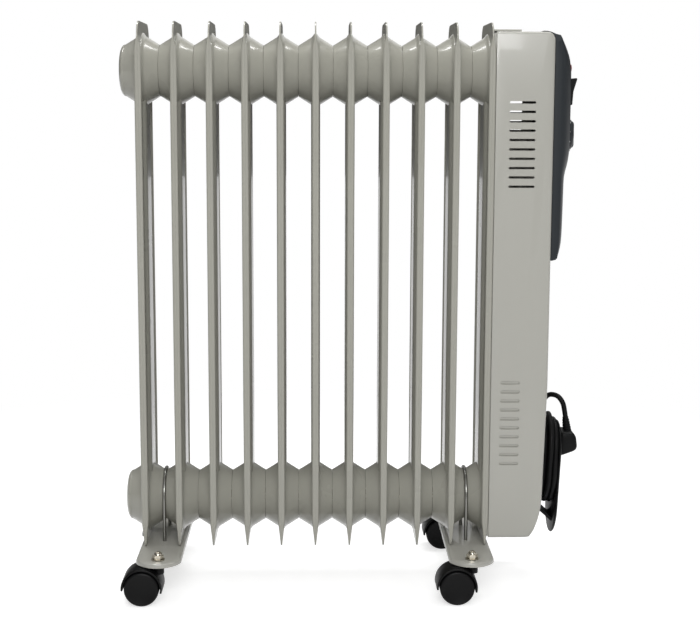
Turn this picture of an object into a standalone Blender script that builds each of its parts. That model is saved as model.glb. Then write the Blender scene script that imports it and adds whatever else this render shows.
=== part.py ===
"""Oil filled radiator heater: eleven pressed steel fins on two collars, a control casing, feet on casters.

Metres, +Z up. X runs along the row of fins, -Y is the side with the cord's plug in easy view.
Sizes along X are worked out from the middle fin, and one empty moves the whole heater to its origin:
on the floor, in the middle of its bounding box.
"""
import math

import bmesh
import bpy
from mathutils import Matrix, Vector

# ---- clearances ----
GAP = 0.0003                  # between pieces that touch or are welded, pressed or screwed together
RUN = 0.0005                  # round a turning or sliding piece

# ---- fins and collars ----
FIN_COUNT = 11
FIN_PITCH = 0.038
FIN_DEPTH = 0.110
FIN_CORNER = 0.018
SHEET = 0.0016                # two skins welded flat together
COLLAR_SPACING = 0.480
FIN_ABOVE = 0.052             # fin above the upper collar's axis
FIN_BELOW = 0.046             # fin below the lower collar's axis
EDGE_WIDTH = 0.0075           # the rolled edge, along X
EDGE_THICK = 0.0026
EDGE_TOP_DROP = 0.026
EDGE_POINT = 0.026            # length of the tapered ends of the rolled edge
COLLAR_ROOT_R = 0.041
COLLAR_SHOULDER_R = 0.037
COLLAR_SHOULDER_X = 0.0036
COLLAR_NECK_R = 0.028
BORE_R = 0.0240
COLLAR_SIDES = 16             # flats round a collar, its bore and its caps
CHANNEL_THICK = 0.010
CHANNEL_WIDTH = 0.046
CHANNEL_SLOPE = 0.005
CHANNEL_WALL = 0.0015
CAP_DEPTH = 0.006
SPIGOT = 0.004

# ---- feet and casters ----
WHEEL_R = 0.019
WHEEL_WIDTH = 0.0145
WEB = 0.006                   # the hood's middle web, between the two wheels
AXLE_R = 0.003
HOOD_R = 0.0223
HOOD_WALL = 0.0020
HOOD_WIDTH = 0.034
TRAIL = 0.017
CASTER_SPAN = 0.204           # between the stems, across the heater
FOOT_GAP = 0.0039             # from the hood's crown to the foot plate
PLATE = 0.002
FOOT_WIDTH = 0.049
FOOT_END = 0.016              # plate beyond the stem
FOOT_LIP = 0.005
STEM_R = 0.004
NUT_R = 0.0062
WASHER_R = 0.0072
WASHER = 0.0012
UBOLT_R = 0.002

# ---- control casing ----
CASING_LENGTH = 0.0630
CASING_WALL = 0.0015
CASING_TOP_DROP = 0.010       # below the fins' tops
CASING_RISE = 0.011           # above the fins' lower ends
CASING_CORNER = 0.009
CASING_TAPER = 0.0035         # the end wall leans in over its lower part
TAPER_TOP = 0.230             # heights above the floor
TAPER_FOOT = 0.105
LOWER_CURVE_R = 0.095
SLOTS = 10
UPPER_SLOT = (0.0285, 0.0026)
UPPER_SLOT_X = 0.0290         # slot middle from the casing's back
UPPER_SLOT_TOP = 0.5405
UPPER_SLOT_PITCH = 0.01005
LOWER_SLOT = (0.0216, 0.0022)
LOWER_SLOT_X = 0.0210
LOWER_SLOT_TOP = 0.2336
LOWER_SLOT_PITCH = 0.01015
STRAP_THICK = 0.0021
STRAP_LENGTH = 0.030
STRAP_WIDTH = 0.096

# ---- control panel ----
PANEL_WIDTH = 0.104
PANEL_RISE = 0.0246           # face of the upper part from the casing's end
PANEL_LOW_RISE = 0.0173
PANEL_FOOT = 0.3665
PANEL_STEP = 0.470            # where the raised upper part ends
PANEL_LIP = 0.0014
PANEL_WALL = 0.0028
WINDOW_WIDTH = 0.084
KNOB_Z = 0.505
KNOB_R = 0.018
KNOB_HEIGHT = 0.0120
KNOB_PROUD = 0.0047
SHAFT_R = 0.003
ROCKER_Z = 0.553
ROCKER_SPACING = 0.026
ROCKER_WIDTH = 0.020
ROCKER_HALF = 0.0149
ROCKER_CREST = 0.0052         # rocker's rim from its pivot
ROCKER_DIP = 0.0036
ROCKER_TILT = math.radians(10.0)
PIVOT_DEPTH = 0.0026          # rocker pivot below the panel's face
LENS_Z = 0.5775
LENS_R = 0.0060
LENS_PROUD = 0.0020

# ---- cord store, cord and plug ----
CORD_R = 0.0029
STORE_Z = 0.137
STORE_TILT = math.radians(2.75)
STORE_REACH = 0.0204          # plate's inner face from the casing's end, at the store's middle
STORE_PLATE = 0.0032
STORE_WIDTH = 0.072
STORE_TOP = 0.043
STORE_BOTTOM = 0.088
HUB_HALF_WIDTH = 0.026
HUB_HALF_HEIGHT = 0.0404
HUB_WALL = 0.0025
HUB_DEPTH = 0.0183
COLUMNS = 3
LAYERS = 2
TURN_STEP = 0.00585
PIN_R = 0.0024
PIN_LENGTH = 0.017
PIN_SPACING = 0.019
PLUG_Z = 0.0175               # pins above the store's middle

# ---- worked out from the sizes above ----
HOOD_TOP = WHEEL_R + HOOD_R
FOOT_BOTTOM = HOOD_TOP + FOOT_GAP
FOOT_TOP = FOOT_BOTTOM + PLATE
FIN_BOTTOM = FOOT_TOP + GAP
LOWER_AXIS = FIN_BOTTOM + FIN_BELOW
UPPER_AXIS = LOWER_AXIS + COLLAR_SPACING
FIN_TOP = UPPER_AXIS + FIN_ABOVE
LAST_FIN = (FIN_COUNT - 1) / 2 * FIN_PITCH
COLLAR_HALF = (FIN_PITCH - GAP) / 2
CASING_BACK = LAST_FIN + EDGE_WIDTH / 2 + GAP
CASING_END = CASING_BACK + CASING_LENGTH
CASING_TOP = FIN_TOP - CASING_TOP_DROP
CASING_BOTTOM = FIN_BOTTOM + CASING_RISE
CASING_LOW_END = CASING_END - CASING_TAPER
BACK_SHEET = LAST_FIN + CHANNEL_THICK / 2 + GAP
BACK_INNER = BACK_SHEET + CASING_WALL + GAP
PANEL_FACE = CASING_END + PANEL_RISE
PIVOT_X = PANEL_FACE - PIVOT_DEPTH
PANEL_TOP = CASING_TOP + GAP + PANEL_LIP
ROCKER_REACH = math.hypot(ROCKER_CREST, ROCKER_HALF)
FOOT_X = LAST_FIN - FIN_PITCH / 2
STEM_Y = CASTER_SPAN / 2
STORE_X = CASING_LOW_END + STORE_REACH
WINDING_THICK = LAYERS * TURN_STEP
LEFT_REACH = -LAST_FIN - COLLAR_HALF - GAP - CAP_DEPTH
RIGHT_REACH = (PIVOT_X + ROCKER_CREST * math.cos(ROCKER_TILT)
               + ROCKER_HALF * math.sin(ROCKER_TILT))
MIDDLE = (LEFT_REACH + RIGHT_REACH) / 2

TO_X = Matrix(((0, 0, 1, 0), (1, 0, 0, 0), (0, 1, 0, 0), (0, 0, 0, 1)))   # z to X, x to Y, y to Z
TO_Y = Matrix(((1, 0, 0, 0), (0, 0, -1, 0), (0, 1, 0, 0), (0, 0, 0, 1)))  # z to -Y, x to X, y to Z


# ---- scene ----
for old in list(bpy.data.objects):
    bpy.data.objects.remove(old)

heater = bpy.data.collections.new("oil_filled_radiator_heater")
cutters = bpy.data.collections.new("cutters")
bpy.context.scene.collection.children.link(heater)
bpy.context.scene.collection.children.link(cutters)

origin = bpy.data.objects.new("heater_origin", None)
origin.location = (-MIDDLE, 0, 0)
heater.objects.link(origin)


def material(name, colour, roughness, metallic=0.0):
    made = bpy.data.materials.new(name)
    made.use_nodes = True
    shader = made.node_tree.nodes["Principled BSDF"]
    shader.inputs["Base Color"].default_value = (*colour, 1)
    shader.inputs["Roughness"].default_value = roughness
    shader.inputs["Metallic"].default_value = metallic
    return made


FIN_PAINT = material("fin_paint", (0.36, 0.35, 0.30), 0.30)
CASING_PAINT = material("casing_paint", (0.41, 0.41, 0.36), 0.35)
PANEL_PLASTIC = material("panel_plastic", (0.035, 0.042, 0.050), 0.35)
BLACK_PLASTIC = material("black_plastic", (0.008, 0.008, 0.008), 0.40)
CORD_RUBBER = material("cord_rubber", (0.006, 0.006, 0.007), 0.50)
ZINC = material("zinc_steel", (0.62, 0.56, 0.46), 0.25, 1.0)
BARE_STEEL = material("bare_steel", (0.55, 0.55, 0.53), 0.35, 1.0)
LENS_PLASTIC = material("lens_plastic", (0.55, 0.02, 0.01), 0.10)
BRASS = material("plated_brass", (0.70, 0.66, 0.55), 0.25, 1.0)
WHITE_PLASTIC = material("white_plastic", (0.75, 0.74, 0.70), 0.45)


# ---- modelling helpers ----
def link(mesh, name="work"):
    body = bpy.data.objects.new(name, mesh)
    cutters.objects.link(body)
    return body


def drop(body):
    """Removes a working object once its mesh has been used."""
    bpy.data.objects.remove(body)


def baked(body, turn=Matrix.Identity(4)):
    """The object's evaluated mesh, with its modifiers applied and its working object removed."""
    bpy.context.view_layer.update()
    graph = bpy.context.evaluated_depsgraph_get()
    mesh = bpy.data.meshes.new_from_object(body.evaluated_get(graph), depsgraph=graph)
    mesh.transform(turn @ body.matrix_world)
    work = bmesh.new()
    work.from_mesh(mesh)
    bmesh.ops.remove_doubles(work, verts=work.verts, dist=1e-7)
    bmesh.ops.recalc_face_normals(work, faces=work.faces)
    work.to_mesh(mesh)
    work.free()
    drop(body)
    return mesh


def slab(outline, thickness, turn=Matrix.Identity(4), middle=0.0, holes=()):
    """A flat outline, with any holes, given a thickness about the plane at middle."""
    curve = bpy.data.curves.new("outline", "CURVE")
    curve.dimensions = "2D"
    curve.fill_mode = "BOTH"
    curve.extrude = thickness / 2
    for points in (outline, *holes):
        spline = curve.splines.new("POLY")
        spline.points.add(len(points) - 1)
        for point, (x, y) in zip(spline.points, points):
            point.co = (x, y, 0, 1)
        spline.use_cyclic_u = True
    return baked(link(curve), turn @ Matrix.Translation((0, 0, middle)))


def turned(profile, steps=32, turn=Matrix.Identity(4)):
    """A turned solid: (radius, height) points from the top to the bottom, about Z."""
    mesh = bpy.data.meshes.new("profile")
    mesh.from_pydata([(radius, 0, height) for radius, height in profile],
                     [(step, step + 1) for step in range(len(profile) - 1)], [])
    body = link(mesh)
    screw = body.modifiers.new("Screw", "SCREW")
    screw.steps = steps
    screw.render_steps = steps
    screw.use_merge_vertices = True
    screw.merge_threshold = 0.00001
    return baked(body, turn)


def box(low, high):
    work = bmesh.new()
    bmesh.ops.create_cube(work, size=1)
    mesh = bpy.data.meshes.new("box")
    work.to_mesh(mesh)
    work.free()
    size = [top - bottom for bottom, top in zip(low, high)]
    middle = [(top + bottom) / 2 for bottom, top in zip(low, high)]
    mesh.transform(Matrix.Translation(middle) @ Matrix.Diagonal((*size, 1)))
    return mesh


def rod(radius, low, high, turn=Matrix.Identity(4), sides=24, top_radius=None):
    """A cylinder or cone along Z from low to high, then turned into place."""
    work = bmesh.new()
    bmesh.ops.create_cone(work, cap_ends=True, segments=sides, radius1=radius,
                          radius2=radius if top_radius is None else top_radius, depth=high - low)
    mesh = bpy.data.meshes.new("rod")
    work.to_mesh(mesh)
    work.free()
    mesh.transform(turn @ Matrix.Translation((0, 0, (low + high) / 2)))
    return mesh


def tube(points, radius, resolution=2):
    """A round bar or cord along a list of points, with closed ends."""
    curve = bpy.data.curves.new("path", "CURVE")
    curve.dimensions = "3D"
    curve.bevel_depth = radius
    curve.bevel_resolution = resolution
    curve.use_fill_caps = True
    spline = curve.splines.new("POLY")
    spline.points.add(len(points) - 1)
    for point, place in zip(spline.points, points):
        point.co = (*place, 1)
    return baked(link(curve))


def cut(mesh, tool, operation="DIFFERENCE"):
    """Cuts one mesh from another, or joins them, and uses both up."""
    body = link(mesh)
    cutter = link(tool)
    cutter.hide_render = True
    cutter.display_type = "WIRE"
    modifier = body.modifiers.new("Boolean", "BOOLEAN")
    modifier.operation = operation
    modifier.solver = "EXACT"
    modifier.object = cutter
    result = baked(body)
    drop(cutter)
    return result


def joined(*meshes):
    result = meshes[0]
    for mesh in meshes[1:]:
        result = cut(result, mesh, "UNION")
    return result


def merged(meshes):
    """Several separate closed bodies in one cutter."""
    work = bmesh.new()
    for mesh in meshes:
        work.from_mesh(mesh)
    result = bpy.data.meshes.new("tools")
    work.to_mesh(result)
    work.free()
    return result


def rounded(mesh, width, segments=3, angle=50):
    body = link(mesh)
    bevel = body.modifiers.new("Bevel", "BEVEL")
    bevel.width = width
    bevel.segments = segments
    bevel.limit_method = "ANGLE"
    bevel.angle_limit = math.radians(angle)
    return baked(body)


def arc(middle, radius, start, end, steps):
    """Points of an arc, in degrees, ends included."""
    angles = [math.radians(start + (end - start) * step / steps) for step in range(steps + 1)]
    return [(middle[0] + radius * math.cos(a), middle[1] + radius * math.sin(a)) for a in angles]


def stadium(half_width, low, high, steps=6):
    """A plate outline with half-round ends, in its own x and y."""
    return (arc((0, high - half_width), half_width, 0, 180, 2 * steps)
            + arc((0, low + half_width), half_width, 180, 360, 2 * steps))


def piece(name, mesh, paint, place=(0, 0, 0), parent=None, smooth=True):
    """A finished sub-part: mesh in its own frame, set at its place under its parent."""
    mesh.name = name
    mesh.materials.clear()
    mesh.materials.append(paint)
    body = bpy.data.objects.new(name, mesh)
    heater.objects.link(body)
    body.parent = parent or origin
    body.location = place
    if smooth:
        mesh.shade_smooth()
        mesh.set_sharp_from_angle(angle=math.radians(32))
    return body


def pivot(name, place, parent=None):
    """An empty on a joint's axis."""
    axis = bpy.data.objects.new(name, None)
    heater.objects.link(axis)
    axis.parent = parent or origin
    axis.location = place
    return axis


# ---- fins: one pressing, repeated ----
def fin_outline():
    y = FIN_DEPTH / 2 - FIN_CORNER
    low = -FIN_BELOW + FIN_CORNER
    high = COLLAR_SPACING + FIN_ABOVE - FIN_CORNER
    return (arc((y, high), FIN_CORNER, 0, 90, 4) + arc((-y, high), FIN_CORNER, 90, 180, 4)
            + arc((-y, low), FIN_CORNER, 180, 270, 4) + arc((y, low), FIN_CORNER, 270, 360, 4))


def rolled_edge(side):
    """The thick vertical edge, pointed at both ends."""
    half = EDGE_WIDTH / 2
    tip = SHEET / 2
    low = -FIN_BELOW + FIN_CORNER * 0.4
    high = COLLAR_SPACING + FIN_ABOVE - EDGE_TOP_DROP
    outline = [(tip, low), (half, low + EDGE_POINT), (half, high - EDGE_POINT / 3), (tip, high),
               (-tip, high), (-half, high - EDGE_POINT / 3), (-half, low + EDGE_POINT), (-tip, low)]
    return slab(outline, EDGE_THICK, TO_Y, middle=side * (FIN_DEPTH - EDGE_THICK) / 2)


def collar():
    profile = [(0, COLLAR_HALF), (COLLAR_NECK_R, COLLAR_HALF), (COLLAR_SHOULDER_R, COLLAR_SHOULDER_X),
               (COLLAR_ROOT_R, SHEET / 4), (COLLAR_ROOT_R, -SHEET / 4),
               (COLLAR_SHOULDER_R, -COLLAR_SHOULDER_X), (COLLAR_NECK_R, -COLLAR_HALF),
               (0, -COLLAR_HALF)]
    return turned(profile, COLLAR_SIDES, TO_X)


def oil_channel(inset):
    thick = CHANNEL_THICK / 2 - inset
    width = CHANNEL_WIDTH / 2 - inset
    flat = width - CHANNEL_SLOPE
    return [(thick, -flat), (thick, flat), (SHEET / 2, width), (-SHEET / 2, width),
            (-thick, flat), (-thick, -flat), (-SHEET / 2, -width), (SHEET / 2, -width)]


def fin():
    skin = slab(fin_outline(), SHEET, TO_X)
    lift = Matrix.Translation((0, 0, COLLAR_SPACING))
    upper = collar()
    upper.transform(lift)
    channel_length = COLLAR_SPACING - 2 * COLLAR_NECK_R
    passage = slab(oil_channel(0), channel_length, middle=COLLAR_SPACING / 2)
    solid = joined(skin, rolled_edge(-1), rolled_edge(1), passage, collar(), upper)
    lower_bore = rod(BORE_R, -FIN_PITCH, FIN_PITCH, TO_X, COLLAR_SIDES)
    upper_bore = lower_bore.copy()
    upper_bore.transform(lift)
    inside = slab(oil_channel(CHANNEL_WALL), COLLAR_SPACING - BORE_R, middle=COLLAR_SPACING / 2)
    for tool in (lower_bore, upper_bore, inside):
        solid = cut(solid, tool)
    return solid


pressing = fin()
for number in range(FIN_COUNT):
    x = (number - (FIN_COUNT - 1) / 2) * FIN_PITCH
    piece(f"fin_{number + 1:02d}", pressing.copy(), FIN_PAINT, (x, 0, LOWER_AXIS))


# ---- collar ends ----
def end_cap(crown_flat):
    """Domed cap, its spigot in the collar's bore; its dome points along its own +X."""
    rim = COLLAR_NECK_R
    profile = [(0, CAP_DEPTH), (crown_flat, CAP_DEPTH), (rim * 0.62, CAP_DEPTH * 0.86),
               (rim * 0.90, CAP_DEPTH * 0.56), (rim, 0),
               (BORE_R - GAP, 0), (BORE_R - GAP, -SPIGOT), (0, -SPIGOT)]
    return turned(profile, COLLAR_SIDES, TO_X)


COLLAR_END = LAST_FIN + COLLAR_HALF + GAP
for name, height in (("upper_end_cap", UPPER_AXIS), ("lower_end_cap", LOWER_AXIS)):
    cap = end_cap(0.006)
    cap.transform(Matrix.Rotation(math.pi, 4, "Z"))
    piece(name, cap, FIN_PAINT, (-COLLAR_END, 0, height))
piece("upper_casing_side_cap", end_cap(0.010), FIN_PAINT, (COLLAR_END, 0, UPPER_AXIS))

HEX_R = 0.021
HEX_DEPTH = 0.011
ELEMENT_R = 0.004
ELEMENT_Y = 0.011
ELEMENT_LENGTH = 0.300


def element_plug():
    """Screwed plug that closes the lower collar and carries the element's two legs."""
    disc = rod(COLLAR_NECK_R, 0, CAP_DEPTH, TO_X, COLLAR_SIDES)
    spigot = rod(BORE_R - GAP, -SPIGOT, CAP_DEPTH / 2, TO_X, COLLAR_SIDES)
    head = rod(HEX_R, CAP_DEPTH / 2, CAP_DEPTH + HEX_DEPTH, TO_X, 6)
    return joined(disc, spigot, head)


def element():
    start = -SPIGOT - GAP
    bend = -ELEMENT_LENGTH
    turn = arc((bend, 0), ELEMENT_Y, 90, 270, 10)
    path = [(start, ELEMENT_Y, 0), *[(x, y, 0) for x, y in turn], (start, -ELEMENT_Y, 0)]
    return tube(path, ELEMENT_R, 2)


piece("element_plug", element_plug(), BARE_STEEL, (COLLAR_END, 0, LOWER_AXIS))
piece("heating_element", element(), BARE_STEEL, (COLLAR_END, 0, LOWER_AXIS))


# ---- control casing ----
def end_wall(height):
    """X of the casing's end wall at a height above the floor."""
    if height >= TAPER_TOP:
        return CASING_END
    share = min(1.0, (TAPER_TOP - height) / (TAPER_TOP - TAPER_FOOT))
    below = max(0.0, TAPER_FOOT - height)
    return CASING_END - CASING_TAPER * share - below * below / (2 * LOWER_CURVE_R)


def casing_outline(inset, back):
    low = CASING_BOTTOM + inset
    high = CASING_TOP - inset
    corner = CASING_CORNER - inset
    curve = [low + (TAPER_FOOT - low) * step / 5 for step in range(6)]
    points = [(back, low)]
    points += [(end_wall(height) - inset, height) for height in curve]
    points.append((CASING_END - inset, TAPER_TOP))
    points += arc((CASING_END - inset - corner, high - corner), corner, 0, 90, 5)
    points.append((back, high))
    return points


def slot_tools(count, size, x, top, pitch):
    length, height = size
    reach = FIN_DEPTH
    tools = []
    for row in range(count):
        z = top - row * pitch
        tools.append(box((x - length / 2, -reach, z - height / 2), (x + length / 2, reach, z + height / 2)))
    return tools


WINDOW_LOW = PANEL_FOOT + 0.016
WINDOW_HIGH = ROCKER_Z + 0.034


def collar_room(height):
    """What the last fin's collar takes out of the casing."""
    place = Matrix.Translation((LAST_FIN, 0, height)) @ TO_X
    return rod(COLLAR_SHOULDER_R + 2 * RUN, 0, COLLAR_HALF, place, 24)


def casing_cover():
    overrun = 0.020
    solid = slab(casing_outline(0, CASING_BACK), FIN_DEPTH, TO_Y)
    hollow = slab(casing_outline(CASING_WALL, CASING_BACK - overrun), FIN_DEPTH - 2 * CASING_WALL, TO_Y)
    window = box((CASING_END - 2 * CASING_WALL, -WINDOW_WIDTH / 2, WINDOW_LOW),
                 (CASING_END + CASING_WALL, WINDOW_WIDTH / 2, WINDOW_HIGH))
    slots = slot_tools(SLOTS, UPPER_SLOT, CASING_BACK + UPPER_SLOT_X, UPPER_SLOT_TOP, UPPER_SLOT_PITCH)
    slots += slot_tools(SLOTS, LOWER_SLOT, CASING_BACK + LOWER_SLOT_X, LOWER_SLOT_TOP, LOWER_SLOT_PITCH)
    for tool in (hollow, window, merged(slots), collar_room(LOWER_AXIS)):
        solid = cut(solid, tool)
    return solid


def casing_back():
    """Flat sheet inside the cover's open side, cut away round the last fin's collars."""
    y = FIN_DEPTH / 2 - CASING_WALL - GAP
    low = CASING_BOTTOM + CASING_WALL + GAP
    high = CASING_TOP - CASING_WALL - GAP
    sheet = box((BACK_SHEET, -y, low), (BACK_SHEET + CASING_WALL, y, high))
    return cut(sheet, merged([collar_room(height) for height in (LOWER_AXIS, UPPER_AXIS)]))


piece("casing_cover", casing_cover(), CASING_PAINT)
piece("casing_back", casing_back(), CASING_PAINT)
strap = box((LAST_FIN + SHEET / 2 + GAP, -STRAP_WIDTH / 2, CASING_TOP + GAP),
            (LAST_FIN + SHEET / 2 + GAP + STRAP_LENGTH, STRAP_WIDTH / 2, CASING_TOP + GAP + STRAP_THICK))
piece("casing_top_strap", rounded(strap, 0.0005, 1), CASING_PAINT)


# ---- control panel and what it carries ----
def panel_outline():
    low_face = CASING_END + PANEL_LOW_RISE
    top = PANEL_TOP
    inner_corner = CASING_CORNER + GAP
    lip = CASING_END - 0.012
    outer = [(CASING_END + GAP, PANEL_FOOT), (CASING_END + 0.009, PANEL_FOOT),
             (low_face - 0.0035, PANEL_FOOT + 0.005), (low_face - 0.0008, PANEL_FOOT + 0.014),
             (low_face, PANEL_FOOT + 0.035), (low_face + 0.0006, PANEL_STEP - 0.012),
             (low_face + 0.0020, PANEL_STEP - 0.003), (PANEL_FACE - 0.0020, PANEL_STEP + 0.008),
             (PANEL_FACE, PANEL_STEP + 0.020), (PANEL_FACE, LENS_Z - 0.002),
             (PANEL_FACE - 0.0012, LENS_Z + 0.006), (PANEL_FACE - 0.0046, top - 0.0265),
             (PANEL_FACE - 0.0105, top - 0.0135), (PANEL_FACE - 0.0145, top - 0.0085),
             (PANEL_FACE - 0.0205, top - 0.0036), (PANEL_FACE - 0.0290, top - 0.0006), (lip, top)]
    inner = arc((CASING_END - CASING_CORNER, CASING_TOP - CASING_CORNER), inner_corner, 90, 0, 5)
    return outer + [(lip, CASING_TOP + GAP)] + inner


def panel_hollow():
    low = CASING_END + PANEL_LOW_RISE - PANEL_WALL
    face = PANEL_FACE - PANEL_WALL
    back = CASING_END - 0.010
    return [(back, WINDOW_LOW), (low - 0.001, WINDOW_LOW), (low, WINDOW_LOW + 0.020),
            (low, PANEL_STEP - 0.006), (face - 0.002, PANEL_STEP + 0.012), (face, PANEL_STEP + 0.022),
            (face, LENS_Z), (face - 0.005, WINDOW_HIGH), (back, WINDOW_HIGH)]


WELL_R = KNOB_R + 0.0012
WELL_FLOOR = PANEL_FACE + KNOB_PROUD - KNOB_HEIGHT - RUN
ROCKER_ROOM = ROCKER_REACH + RUN


def rocker_middles():
    return (-ROCKER_SPACING / 2, ROCKER_SPACING / 2)


def rocker_tools(low, high):
    half = ROCKER_WIDTH / 2 + RUN
    return [box((low, y - half, ROCKER_Z - ROCKER_ROOM), (high, y + half, ROCKER_Z + ROCKER_ROOM))
            for y in rocker_middles()]


def control_panel():
    solid = rounded(slab(panel_outline(), PANEL_WIDTH, TO_Y), 0.0035, 2, 60)
    hollow = slab(panel_hollow(), WINDOW_WIDTH, TO_Y)
    at_knob = Matrix.Translation((0, 0, KNOB_Z)) @ TO_X
    cup = rod(WELL_R + PANEL_WALL, WELL_FLOOR - PANEL_WALL, PANEL_FACE - PANEL_WALL / 2, at_knob, 24)
    well = rod(WELL_R, WELL_FLOOR, PANEL_FACE + 0.010, at_knob, 24)
    shaft_hole = rod(SHAFT_R + RUN, WELL_FLOOR - 0.010, WELL_FLOOR + 0.002, at_knob, 16)
    lens_hole = rod(LENS_R + GAP, CASING_END + 0.015, PANEL_FACE + 0.010,
                    Matrix.Translation((0, 0, LENS_Z)) @ TO_X, 16)
    openings = merged(rocker_tools(PANEL_FACE - 2 * PANEL_WALL, PANEL_FACE + 0.010))
    solid = cut(solid, hollow)
    solid = cut(solid, cup, "UNION")
    for tool in (well, shaft_hole, lens_hole, openings):
        solid = cut(solid, tool)
    return solid


def knob():
    """Shallow domed dial with a finger bar across it, turning about its own X."""
    base = PANEL_FACE + KNOB_PROUD - KNOB_HEIGHT
    rim = KNOB_HEIGHT * 0.70
    dome = turned([(0, KNOB_HEIGHT * 0.90), (KNOB_R * 0.60, KNOB_HEIGHT * 0.84),
                   (KNOB_R * 0.90, rim), (KNOB_R, rim * 0.75), (KNOB_R, 0), (0, 0)], 24, TO_X)
    bar = box((KNOB_HEIGHT * 0.5, -0.0035, -KNOB_R * 0.86), (KNOB_HEIGHT, 0.0035, KNOB_R * 0.86))
    solid = cut(dome, rounded(bar, 0.0012, 2), "UNION")
    solid = cut(solid, rod(SHAFT_R + GAP, -0.002, KNOB_HEIGHT * 0.55, TO_X, 16))
    return solid, base


def thermostat(base):
    """Switch box on the inside of the panel's cup, its shaft up into the knob."""
    front = WELL_FLOOR - PANEL_WALL - GAP
    body = rounded(box((front - 0.026, -0.016, -0.015), (front, 0.016, 0.015)), 0.001, 1)
    shaft = rod(SHAFT_R, front - 0.004, base + KNOB_HEIGHT * 0.55 - GAP, TO_X, 16)
    return cut(body, shaft, "UNION")


def rocker():
    """Rocker at rest with its upper half out, about its own origin on the pivot line."""
    sole = -0.002
    outline = [(sole, -0.013), (ROCKER_CREST - 0.0012, -ROCKER_HALF), (ROCKER_CREST, -ROCKER_HALF + 0.0006),
               (ROCKER_DIP, 0), (ROCKER_CREST, ROCKER_HALF - 0.0006), (ROCKER_CREST - 0.0012, ROCKER_HALF),
               (sole, 0.013)]
    solid = rounded(slab(outline, ROCKER_WIDTH, TO_Y), 0.0005, 1, 60)
    solid.transform(Matrix.Rotation(ROCKER_TILT, 4, "Y"))
    return solid


SWITCH_DEPTH = 0.020


def switch_body():
    """One moulded housing for both rockers, with a ridge under each that it rocks on."""
    front = PANEL_FACE - PANEL_WALL - GAP
    floor = PIVOT_X - 0.0055
    half_width = ROCKER_SPACING / 2 + ROCKER_WIDTH / 2 + 0.003
    half_height = ROCKER_ROOM + 0.002
    body = box((front - SWITCH_DEPTH, -half_width, ROCKER_Z - half_height),
               (front, half_width, ROCKER_Z + half_height))
    solid = cut(body, merged(rocker_tools(floor, front + 0.002)))
    for y in rocker_middles():
        ridge = box((floor - 0.001, y - 0.006, ROCKER_Z - 0.001),
                    (PIVOT_X - 0.002 - GAP, y + 0.006, ROCKER_Z + 0.001))
        solid = cut(solid, ridge, "UNION")
    return solid


def lamp_lens():
    profile = [(0, LENS_PROUD), (LENS_R * 0.55, LENS_PROUD * 0.80), (LENS_R * 0.88, LENS_PROUD * 0.35),
               (LENS_R, -0.0012), (LENS_R, -PANEL_WALL - 0.003), (0, -PANEL_WALL - 0.003)]
    return turned(profile, 16, TO_X)


piece("control_panel", control_panel(), PANEL_PLASTIC)
knob_mesh, knob_base = knob()
piece("thermostat_knob", knob_mesh, PANEL_PLASTIC, (knob_base, 0, KNOB_Z))
piece("thermostat", thermostat(knob_base), WHITE_PLASTIC, (0, 0, KNOB_Z))
piece("switch_body", switch_body(), BLACK_PLASTIC, smooth=False)
for number, y in enumerate(rocker_middles(), start=1):
    piece(f"rocker_switch_{number}", rocker(), BLACK_PLASTIC, (PIVOT_X, y, ROCKER_Z), smooth=False)
piece("pilot_lamp_lens", lamp_lens(), LENS_PLASTIC, (PANEL_FACE, 0, LENS_Z))

CUTOUT_R = 0.008
cutout = rod(CUTOUT_R, 0, 0.007, TO_X, 20)
piece("thermal_cutout", cutout, BARE_STEEL, (COLLAR_END + CAP_DEPTH + GAP, 0, UPPER_AXIS))
terminals = rounded(box((0, -0.020, -0.009), (0.015, 0.020, 0.009)), 0.001, 1)
piece("terminal_block", terminals, WHITE_PLASTIC, (BACK_INNER, 0, 0.320))


# ---- cord store, cord and plug: all in the store's own leaning frame ----
store = pivot("cord_store_frame", (STORE_X, 0, STORE_Z))
store.rotation_euler = (0, STORE_TILT, 0)
PLUG_FOOT = STORE_PLATE + GAP
TURN_MIDDLE = [-GAP - CORD_R - column * TURN_STEP for column in range(COLUMNS)]


def hub_line(offset):
    """The hub's stadium outline, set out by an offset."""
    return HUB_HALF_WIDTH + offset, -HUB_HALF_HEIGHT - offset, HUB_HALF_HEIGHT + offset


def cord_store():
    """Hub and face plate in one moulding, with a sloping wall under the winding."""
    plate = slab(stadium(STORE_WIDTH / 2, -STORE_BOTTOM, STORE_TOP), STORE_PLATE, TO_X, STORE_PLATE / 2)
    hub = slab(stadium(*hub_line(0)), HUB_DEPTH + 0.001, TO_X, (0.001 - HUB_DEPTH) / 2)
    hollow = slab(stadium(*hub_line(-HUB_WALL)), HUB_DEPTH, TO_X, -HUB_DEPTH / 2 - 0.001)
    tray = slab([(0.001, -0.0730), (0.001, -0.0690), (-0.0165, -0.0545), (-0.0165, -0.0585)], 0.036, TO_Y)
    holes = [rod(PIN_R + 0.0004, -0.005, 0.008,
                 Matrix.Translation((0, side * PIN_SPACING / 2, PLUG_Z)) @ TO_X, 16) for side in (-1, 1)]
    solid = joined(plate, hub, tray)
    return cut(cut(solid, hollow), merged(holes))


def winding():
    """Closed outer shape of the wound cord, round the hub."""
    inner = stadium(*hub_line(GAP))
    outer = stadium(*hub_line(GAP + WINDING_THICK))
    depth = COLUMNS * TURN_STEP
    return slab(outer, depth, TO_X, -GAP - depth / 2, holes=[inner])


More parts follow.
